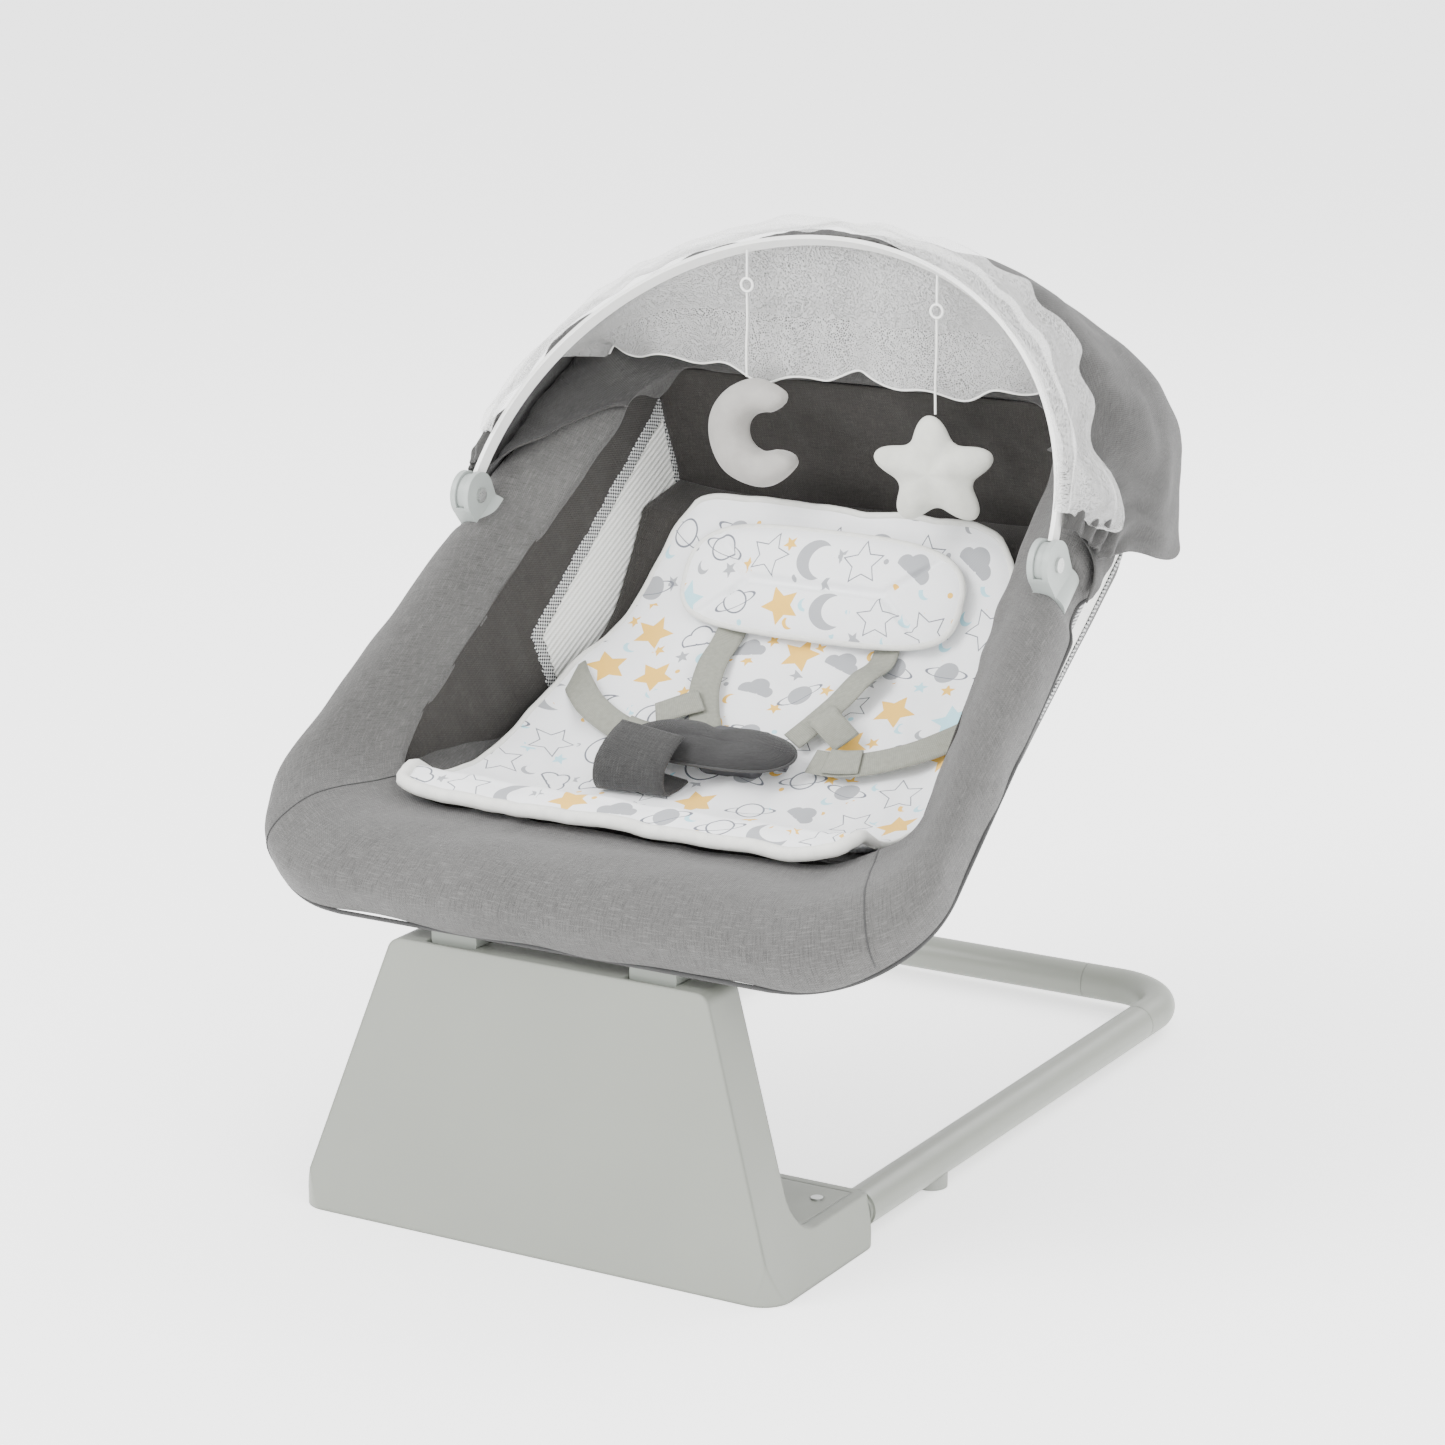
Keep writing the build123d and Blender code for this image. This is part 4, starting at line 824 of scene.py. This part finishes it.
def outerWindow(v, n):
    # How far inside the outer window's outline a place on the side is.
    top = -34 - n
    low = n + 84
    return np.minimum(np.minimum(top, low), np.minimum(v - 318 - (n + 84) * 0.5, 492 - v - (n + 34) * -0.4))


hole = outerWindow(v, n)
centre = (hole[1:, 1:] + hole[:-1, :-1]) / 2
uv = np.stack([runLength(points, 1), runLength(points, 0)], -1)
# the outer shell is dressed in the hood's fabric: the grey mélange painted darker for shade
for name, chosen, thick, material in (
    ("outerShell", centre < 3, 1.8, None),
    ("outerMesh", centre > -2, 0.7, finishes["window_mesh"]),
    ("outerBinding", (centre > -5) & (centre < 3), 2.8, bindingCloth),
):
    piece = gridPiece(name, points, uv=uv, keep=chosen)
    thicken(piece, thick)
    slot = "tub_fabric" if name == "outerShell" else "window_mesh"
    dress(piece, slot, material=material or finishes["hood_fabric"])
print("outer shell made")

# Liner pad.
liner = {"thick": 12.0, "edge": 4.0, "pipe": 2.4}


def linerOutline(count=260):
    corners = [(0, 452), (100, 452), (126, 440), (138, 412), (150, 360), (160, 310), (166, 250), (168, 190),
               (168, 144), (166, 126), (153, 114), (80, 112), (0, 113)]
    right = np.array(corners, float)
    whole = np.concatenate([right, right[-2:0:-1] * [-1, 1]])
    return smoothLine(whole, count, True)


def linerPlace(u, v, lift):
    # Middle surface of the pad: the seat's profile, with its sides curling up the walls.
    reach = np.abs(u) / 165
    limit = wallHalf(v, padDepth(np.clip(v, 140, 444)) + 4) - 7
    curl = 17 * np.clip(reach - 0.72, 0, 1)**2 / 0.08 * np.clip((440 - v) / 120, 0, 1)
    front = np.clip((158 - v) / 24, 0, 1)**2 * 4 + np.clip((132 - v) / 19, 0, 1) * 9
    base = padDepth(np.clip(v, 128, 444)) - np.clip(v - 444, 0, 20) * -1.1
    curl = np.minimum(curl, 24)
    n = base - liner["thick"] / 2 + curl * (1 - 0.6 * np.clip((180 - v) / 40, 0, 1)) + front
    u = np.clip(u, -limit, limit)
    return u, v, n + lift


outline = linerOutline()
centre = np.array([0.0, 300.0])
radial = np.concatenate([np.linspace(0.03, 0.9, 58), np.linspace(0.915, 1.0, 10)])


def linerSide(sign):
    r = radial[:, None]
    flat = centre + (outline[None] - centre) * r[..., None]
    fall = (1 - np.clip((r - 0.93) / 0.07, 0, 1)**2)**0.5
    half = liner["edge"] / 2 + (liner["thick"] - liner["edge"]) / 2 * np.minimum(1, (1 - r) * 9)**0.5
    u, v, n = linerPlace(flat[..., 0], flat[..., 1], sign * half * np.maximum(fall, 0.25))
    wave = ripples(np.stack([u, v], -1), 60, 31) * 1.2 + ripples(np.stack([u, v], -1), 26, 32) * 0.4
    return onRim(u, v, n + wave), np.stack([u, v], -1) / 1000


topSide, topUv = linerSide(1)
lowSide, lowUv = linerSide(-1)
rings = np.concatenate([topSide, lowSide[::-1]])
uv = np.concatenate([topUv, lowUv[::-1]])
uv = np.concatenate([uv, uv[:, :1]], 1)
linerPad = gridPiece("linerPad", rings, uv=uv, wrap=True, caps=True)
linerPad.modifiers.new("smooth", "SUBSURF").levels = 1
linerPad.modifiers["smooth"].render_levels = 1
dress(linerPad, "printed_cotton", replaced=("liner_pad",))
edgeLine = (topSide[-1] + lowSide[-1]) / 2
edgeV = outline[:, 1]
pipeRadius = liner["pipe"] + 2.3 * np.clip((158 - edgeV) / 24, 0, 1)
linerPiping = tubePiece("linerPiping", edgeLine, pipeRadius, 12, closed=True)
dress(linerPiping, "printed_cotton", material=pipingCloth)
print("liner made")


# Pillow.
def fromPad(u, v, lift):
    # A place above the pad's face, measured square to it.
    slope = np.gradient(padProfile[:, 1], padProfile[:, 0])
    tilted = np.interp(v, padProfile[:, 0], slope)
    size = np.sqrt(1 + tilted**2)
    return onRim(u, v - lift * tilted / size, padDepth(v) + lift / size)


pillow = {"half": 107.0, "low": 360.0, "high": 437.0, "thick": 17.0}
turn = np.linspace(0, 2 * math.pi, 200, endpoint=False)
cosTurn, sinTurn = np.cos(turn), np.sin(turn)
middleV = (pillow["low"] + pillow["high"]) / 2
halfV = (pillow["high"] - pillow["low"]) / 2
px = np.sign(cosTurn) * np.abs(cosTurn)**0.62 * pillow["half"]
py = np.sign(sinTurn) * np.abs(sinTurn)**0.72 * halfV * (1 + 0.05 * np.cos(2 * turn))
radial = np.concatenate([np.linspace(0.03, 0.88, 34), np.linspace(0.9, 1.0, 9)])[:, None]


def pillowSide(sign):
    u = px * radial
    v = middleV + py * radial
    dome = (1 - radial**2.6)**0.6
    height = pillow["thick"] * (0.62 if sign > 0 else 0.30) * dome
    if sign > 0:
        acrossSeam = np.exp(-((v - middleV) / 2.6)**2) * (np.abs(u) < pillow["half"] * 0.5)
        for reach in (-1, 1):
            line = np.abs((u - reach * 52) * 0.8 * reach - np.abs(v - middleV) * 1.0)
            acrossSeam = np.maximum(acrossSeam, np.exp(-(line / 2.4)**2) * (u * reach > 52))
        height = height * (1 - 0.5 * acrossSeam)
        height = height + ripples(np.stack([u, v], -1), 40, 41) * 0.6 * dome
    return fromPad(u, v, 8.5 + sign * height), np.stack([u + 37, v + 11], -1) / 1000


topSide, topUv = pillowSide(1)
lowSide, lowUv = pillowSide(-1)
rings = np.concatenate([topSide, lowSide[::-1]])
uv = np.concatenate([topUv, lowUv[::-1]])
uv = np.concatenate([uv, uv[:, :1]], 1)
headPillow = gridPiece("headPillow", rings, uv=uv, wrap=True, caps=True)
dress(headPillow, "printed_cotton", replaced=("head_pillow",))
pillowPiping = tubePiece("pillowPiping", (topSide[-1] + lowSide[-1]) / 2, 2.3, 10, closed=True)
dress(pillowPiping, "printed_cotton", material=pipingCloth)
print("pillow made")


# Harness.
def strapPiece(name, route, slot="webbing", width=20.0, thick=1.5, replaced=(), across=(1, 0, 0), count=70):
    # Webbing through places given as u, v and height above the pad.
    route = smoothLine(np.array(route, float), count)
    line = fromPad(route[:, 0], route[:, 1], route[:, 2])
    piece = ribbonPiece(name, line, across, width, thick)
    return dress(piece, slot, replaced=replaced)


inRim = np.array([0, math.cos(rim["tilt"]), math.sin(rim["tilt"])])
for name, side in (("left", -1), ("right", 1)):
    bow = 8 if side > 0 else 3
    strapPiece(f"shoulderWeb_{name}", [
        (side * 60, 372, 3.5), (side * 61, 352, 3.5), (side * 59, 330, 4 + bow), (side * 53, 305, 4 + bow),
        (side * 43, 284, 5 + bow * 0.6), (side * 33, 268, 7),
    ], replaced=(f"shoulder_strap_{name}",), across=(1, -side * 0.25, 0))
    strapPiece(f"waistWeb_{name}", [
        (side * 160, 306, 6), (side * 146, 290, 9), (side * 126, 272, 10), (side * 100, 258, 9),
        (side * 78, 252, 8), (side * 56, 252, 8),
    ], replaced=(f"waist_strap_{name}",), across=inRim)
    # doubled ends with their keeper loops
    strapPiece(f"keeper_{name}", [
        (side * 92, 256, 10.4), (side * 80, 253, 10.4), (side * 68, 252, 10.4),
    ], across=inRim, count=16)
    strapPiece(f"strapTail_{name}", [
        (side * 47, 290, 8 + bow * 0.8), (side * 58, 281, 9 + bow), (side * 74, 272, 10),
    ], across=(side * 0.45, 0.75, 0.5), count=24)

cushion = {"half": 64.0, "thick": 17.0}
turn = np.linspace(0, 2 * math.pi, 160, endpoint=False)
px = np.cos(turn) * cushion["half"]
py = np.sin(turn) * 27 * (0.86 + 0.28 * np.cos(turn)**2 - 0.10 * (1 + np.sin(turn)) * np.exp(-(px / 12)**2))
radial = np.concatenate([np.linspace(0.04, 0.88, 26), np.linspace(0.9, 1.0, 8)])[:, None]


def cushionSide(sign):
    u = px * radial - 13
    v = 240 + py * radial
    dome = (1 - radial**3.0)**0.55
    waist = 1 - 0.25 * np.exp(-(u / 14)**2) * (sign > 0)
    height = cushion["thick"] * (0.6 if sign > 0 else 0.12) * dome * waist
    return fromPad(u, v, 17.5 + sign * height + ripples(np.stack([u, v], -1), 30, 51) * 0.5 * dome)


topSide, lowSide = cushionSide(1), cushionSide(-1)
coverPad = gridPiece("buckleCushion", np.concatenate([topSide, lowSide[::-1]]), wrap=True, caps=True)
dress(coverPad, "cover_fabric", replaced=("buckle_cover_pad",))
cushionPiping = tubePiece("buckleCushionSeam", (topSide[-1] + lowSide[-1]) / 2, 1.0, 8, closed=True)
dress(cushionPiping, "cover_fabric", material=darkPiping)

strapPiece("crotchBand", [
    (-48, 222, 3), (-50, 206, 3), (-51, 194, 5), (-51, 190, 13), (-51, 194, 23), (-50, 205, 30),
    (-49, 217, 33.5),
    (-48, 228, 34.5),
], slot="crotch_fabric", width=50, thick=2.8, replaced=("crotch_strap",), across=(1, 0.12, 0))
print("harness made")

# Canopy: hood and net.
canopy = {
    "hinge": (275.0, 420.0),
    "angle": [62, 60, 58.5, 57, 54.6, 50, 44.5, 34, 22.5, 11.7, 3, -10],
    "reach": [203, 206, 213, 215, 217, 229, 241, 254, 256, 245, 229, 214],
    "square": [2.0, 2.0, 2.0, 2.0, 2.0, 2.15, 2.4, 3.1, 4.4, 6, 6, 6],
    "half": [217, 218, 222, 223, 224, 227, 230, 234, 237, 239, 241, 242],
    "foot": 26.0,
}
archAngles = np.linspace(62, -10, 145)
archShare = np.linspace(-1, 1, 221)


def archRow(angle):
    # One arch of the canopy at an angle about its hinge, from the left foot to the right one.
    known = -np.array(canopy["angle"])
    table = [np.interp(-angle, known, canopy[key]) for key in ("reach", "square", "half")]
    reach, square, half = table
    phi = np.linspace(0, math.pi / 2, 1500)
    out = half * np.cos(phi)**(2 / square)
    far = reach * np.sin(phi)**(2 / square)
    keep = far >= canopy["foot"]
    out, far = out[keep], far[keep]
    run = np.concatenate([[0], np.cumsum(np.hypot(np.diff(out), np.diff(far)))])
    want = (1 - np.abs(archShare)) * run[-1]
    x = np.interp(want, run, out) * np.sign(archShare)
    far = np.interp(want, run, far)
    y = canopy["hinge"][0] + far * math.cos(math.radians(angle))
    z = canopy["hinge"][1] + far * math.sin(math.radians(angle))
    return np.stack([x, y, z], -1)


archTable = np.array([archRow(angle) for angle in archAngles])
archNormal = facing(archTable)
if archNormal[70, 110, 2] < 0:
    archNormal = -archNormal


def canopyPlace(angle, share, lift):
    # A place on the canopy's surface, in millimetres, raised above it.
    angle, share, lift = np.broadcast_arrays(angle, share, lift)
    row = np.clip((62 - angle) / 72 * 144, 0, 143.999)
    column = np.clip((share + 1) / 2 * 220, 0, 219.999)
    i, j = row.astype(int), column.astype(int)
    a, b = (row - i)[..., None], (column - j)[..., None]

    def between(table):
        return ((table[i, j] * (1 - b) + table[i, j + 1] * b) * (1 - a)
                + (table[i + 1, j] * (1 - b) + table[i + 1, j + 1] * b) * a)

    return between(archTable) + between(archNormal) * lift[..., None]


# the hood's lower layer, laid over the upper half of the rim cover, its ends cut on a slant
loopSize = len(outerLoop)
firstRow = int(np.nonzero(outerLoop[:, 1] < 356)[0][0])
t = np.linspace(0, 1, 40)[None, :]
slant = 30 * (1 - t)**1.5 + 1.5 * np.sin(t * 9)
r = np.linspace(-1, 1, 260)[:, None]
row = r * (firstRow - slant)
column = t * 30
i0, j0 = np.floor(row).astype(int), np.minimum(column.astype(int), 29)
i0, j0 = np.broadcast_arrays(i0, j0)
a, b = (row - i0)[..., None], (column - j0)[..., None]


def onCover(table):
    corner = [table[(i0 + di) % loopSize, j0 + dj] for di, dj in ((0, 0), (1, 0), (0, 1), (1, 1))]
    return (corner[0] * (1 - a) + corner[1] * a) * (1 - b) + (corner[2] * (1 - a) + corner[3] * a) * b


layer = onCover(seamColumns)
lay = 3.4 + ripples(layer * 1000, 60, 65) * 2.4 + ripples(layer * 1000, 26, 66) * 1.0
lay = lay + 3.0 * np.exp(-(1 - np.abs(r)) / 0.02) + 2.0 * np.exp(-t / 0.06)
lay = np.maximum(lay, 1.6)
underLayer = gridPiece("hoodUnderLayer", layer + onCover(normalOut) * (lay / 1000)[..., None])
thicken(underLayer, 1.8, 1)
dress(underLayer, "hood_fabric")

hood = {"front": 54.4, "rear": 2.0, "sideRear": -9.0}
t = np.linspace(0, 1, 150)[:, None]
share = np.linspace(-1, 1, 300)[None, :]
foot = 1 - np.abs(share)
rear = hood["rear"] + (hood["sideRear"] - hood["rear"]) * np.exp(-((np.abs(share) - 0.72) / 0.2)**2)
rear = rear + ripples(np.stack([share * 380, share * 0], -1), 90, 61) * 1.2
angle = hood["front"] + (rear - hood["front"]) * t
flatPlace = canopyPlace(angle, share, 0)
fromFoot = foot * 420
pleat = np.sin(angle * 0.42 + 3 * ripples(flatPlace, 120, 62)) * 3.4 * np.exp(-fromFoot / 75)
drape = ripples(flatPlace * [1, 1.4, 1.0], 105, 63) * 3.2 + ripples(flatPlace, 46, 64) * 1.1
edgeRuffle = np.sin(share * 175 + 1.5 * np.sin(share * 31)) * 1.3 * np.exp(-t / 0.035)
steady = np.clip(t / 0.06, 0.15, 1)
lift = (pleat + drape) * steady * np.clip(fromFoot / 12, 0.3, 1) + edgeRuffle
points = canopyPlace(angle, share, lift) / 1000
hoodSheet = gridPiece("hoodSheet", points)
thicken(hoodSheet, 2.0, 1)
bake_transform(hoodSheet)
hoodSheet.data.materials.append(finishes["hood_fabric"])
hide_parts("hood")
print("hood made")

# a band of net bunched over the hoop, falling over the hood and down to the clips
t = np.linspace(0, 1, 70)[:, None]
share = np.linspace(-0.94, 0.975, 460)[None, :]
rightFall = np.exp(-((share - 0.93) / 0.055)**2)
leftFall = np.exp(-((share + 0.70) / 0.22)**2)
rear = 47.5 - 34 * rightFall - 6 * leftFall + ripples(np.stack([share * 400, share * 0], -1), 60, 71) * 1.4
angle = 61.5 + (rear - 61.5) * t**0.9
nearFoot = np.clip((1 - np.abs(share)) / 0.10, 0, 1)
# long loose folds that run with the hoop, and slighter ones across it
gather = np.sin(t * 17 + share * 9 + 2.2 * np.sin(share * 7.3)) * 2.1
gather = gather + np.sin(share * 41 + 5 * t + 1.6 * np.sin(share * 13)) * 1.0
over = 3.2 + 4.2 * np.exp(-((t - 0.22) / 0.2)**2)
drape = ripples(canopyPlace(angle, share, 0), 55, 72) * 1.6 * t
lift = (over + gather + drape + 3.2) * (0.35 + 0.65 * nearFoot)
points = canopyPlace(angle, share, lift) / 1000
netBand = gridPiece("netBand", points)
thicken(netBand, 0.5)
dress(netBand, "net_tulle", "canopy")

# the net's front part hangs behind the toys
x = np.linspace(-192, 192, 420)[None, :]
t = np.linspace(0, 1, 60)[:, None]
hoopRise = 212 * np.sqrt(np.clip(1 - (x / 221.5)**2, 0, 1))
topZ = 420 + (hoopRise - 2) * math.sin(math.radians(57)) + 1
topY = 275 + (hoopRise - 2) * math.cos(math.radians(57)) + 7.5
hem = 499 + 4.5 * np.sin(x / 21.0 + 1.0) + 3.0 * np.sin(x / 8.3)
hem = hem + 13 * np.clip((np.abs(x) - 120) / 60, 0, 1)**2
hem = np.minimum(hem, topZ - 10)
wavy = np.sin(x / 6.6 + 1.6 * np.sin(x / 31.0)) * 2.6 + np.sin(x / 15.0 + 2 * t) * 3.2
z = topZ + (hem - topZ) * t
y = topY + (404 - topY) * t**0.8 + wavy * (0.25 + 0.75 * t)
points = np.stack(np.broadcast_arrays(x + 0 * t, y, z), -1) / 1000
netFront = gridPiece("netFront", points)
thicken(netFront, 0.5)
dress(netFront, "net_tulle", "canopy", replaced=("net_valance",))
hemLine = tubePiece("netHem", points[-1], 0.8, 6)
dress(hemLine, "net_tulle", "canopy", material=finishes["toy_string"])
print("net made")

# Hanging toys.
toys = {"depth": 11.5}
theta = np.linspace(0, 1, 90)[:, None]
angle = np.radians(36 + 288 * theta) + math.radians(10)
centre = np.array([-55.5, 461.0])
taper = np.sin(math.pi * np.clip(theta, 0.0, 1))**0.55
outerArc = centre + 37 * np.concatenate([np.cos(angle), np.sin(angle)], 1)
bandHalf = 6.8 + 7.6 * taper
bandHalf = bandHalf * np.sqrt(1 - np.clip(1 - np.minimum(theta, 1 - theta) / 0.035, 0, 0.97)**2)
centreLine = outerArc - np.concatenate([np.cos(angle), np.sin(angle)], 1) * (6.8 + 7.6 * taper)
turn = np.linspace(0, 2 * math.pi, 40, endpoint=False)[None, :]
radialOut = np.concatenate([np.cos(angle), np.sin(angle)], 1)
across = bandHalf * np.sign(np.cos(turn)) * np.abs(np.cos(turn))**0.85
depth = np.minimum(toys["depth"], 1.5 + bandHalf * 0.86) * np.sin(turn)
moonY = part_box("moon")
middleY = (moonY[0][1] + moonY[1][1]) / 2 * 1000
points = np.stack([
    centreLine[:, :1] + radialOut[:, :1] * across,
    middleY + depth,
    centreLine[:, 1:] + radialOut[:, 1:] * across,
], -1)
normal = facing(points, True)
dimple = ripples(points, 26, 81) * 0.6 - 0.5 * np.exp(-(np.sin(turn) / 0.12)**2)
points = points + normal * dimple[..., None]
plushMoon = gridPiece("plushMoon", points / 1000, wrap=True, caps=True)
dress(plushMoon, "grey_plush", "moon_toy", replaced=("moon",))

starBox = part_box("star")
centre = (np.array(starBox[0]) + np.array(starBox[1])) / 2 * 1000
turn = np.linspace(0, 2 * math.pi, 200, endpoint=False)[None, :]
arms = ((1 + np.cos(5 * (turn - math.pi / 2 - 0.10))) / 2)**1.25
outlineReach = 0.63 + 0.37 * arms
radial = np.concatenate([np.linspace(0.03, 0.9, 30), np.linspace(0.92, 1, 8)])[:, None]
dome = (1 - radial**2.6)**0.5


def starSide(sign):
    x = centre[0] + 47 * outlineReach * radial * np.cos(turn)
    z = centre[2] - 3 + 38.5 * outlineReach * radial * np.sin(turn)
    height = toys["depth"] * dome * (1 - 0.30 * radial * (1 - arms * 0.3))
    height = height + ripples(np.stack([x, z], -1), 24, 82) * 0.7 * dome
    return np.stack([x, centre[1] + sign * height, z], -1) / 1000


plushStar = gridPiece("plushStar", np.concatenate([starSide(-1), starSide(1)[::-1]]), wrap=True, caps=True)
plushStar.modifiers.new("smooth", "SUBSURF").levels = 1
plushStar.modifiers["smooth"].render_levels = 1
dress(plushStar, "cream_plush", "star_toy", replaced=("star",))

for name in ("moon", "star"):
    low, high = (np.array(corner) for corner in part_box(f"{name}_string"))
    middle = (low + high) / 2
    route = [(middle[0], middle[1], high[2]), (middle[0] + 0.0006, middle[1], high[2] * 0.67 + low[2] * 0.33),
             (middle[0] - 0.0006, middle[1], high[2] * 0.33 + low[2] * 0.67), (middle[0], middle[1], low[2])]
    data = bpy.data.curves.new(f"{name}Cord", "CURVE")
    data.dimensions = "3D"
    data.bevel_depth = 0.0008
    data.use_fill_caps = True
    spline = data.splines.new("NURBS")
    spline.points.add(len(route) - 1)
    for point, place in zip(spline.points, route):
        point.co = (*place, 1)
    spline.order_u = 3
    spline.use_endpoint_u = True
    cord = bpy.data.objects.new(f"{name}Cord", data)
    scene = bpy.context.scene
    scene.collection.objects.link(cord)
    data.materials.append(finishes["toy_string"])
    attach(cord, f"{name}_hanger")
    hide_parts(f"{name}_string")
print("toys made")

# Straps outside the tub.
for name, side in (("left", -1), ("right", 1)):
    route = smoothLine([(wallHalf(372, -24) + 10, 372, -27), (wallHalf(372, -60) + 9.5, 372, -58),
                        (wallHalf(372, -90) + 6.5, 372, -88), (wallHalf(372, -112) + 4.0, 372, -113)], 40)
    web = ribbonPiece(f"sideWeb_{name}", onRim(side * route[:, 0], route[:, 1], route[:, 2]), inRim, 20, 1.5)
    dress(web, "webbing", replaced=(f"side_strap_{name}",))

# Stage.
scene = bpy.context.scene
camera = bpy.data.objects.new("camera", bpy.data.cameras.new("camera"))
camera.location = (1.3544, -2.0780, 0.9993)
camera.rotation_euler = (math.radians(75.29), 0, math.radians(30.29))
camera.data.lens = 104.24
camera.data.sensor_width = 36
scene.collection.objects.link(camera)
scene.camera = camera
bpy.ops.mesh.primitive_plane_add(size=30, location=(0, 0, 0))
floor = bpy.context.object
floor.name = "floor"
pale = Graph("floorPaint")
pale.finish(Base_Color=(0.93, 0.93, 0.93), Roughness=0.9, Emission_Color=(1, 1, 1, 1), Emission_Strength=1.1)
floor.data.materials.append(pale.material)
for name, place, aim, size, power in (
    ("keyLight", (-1.6, -1.9, 2.6), (0.1, 0.25, 0.3), 1.8, 135),
    ("fillLight", (2.6, -1.2, 1.6), (0, 0.25, 0.3), 2.2, 60),
    ("backLight", (0.8, 2.6, 2.4), (0, 0.25, 0.3), 2.0, 72),
):
    light = bpy.data.objects.new(name, bpy.data.lights.new(name, "AREA"))
    light.data.size = size
    light.data.energy = power
    light.location = place
    way = np.array(aim) - np.array(place)
    flat = math.hypot(way[0], way[1])
    light.rotation_euler = (math.atan2(flat, -way[2]), 0, math.atan2(way[1], way[0]) - math.pi / 2)
    scene.collection.objects.link(light)
world = bpy.data.worlds.new("studio")
world.use_nodes = True
world.node_tree.nodes["Background"].inputs[0].default_value = (1, 1, 1, 1)
world.node_tree.nodes["Background"].inputs[1].default_value = 2.0
scene.world = world
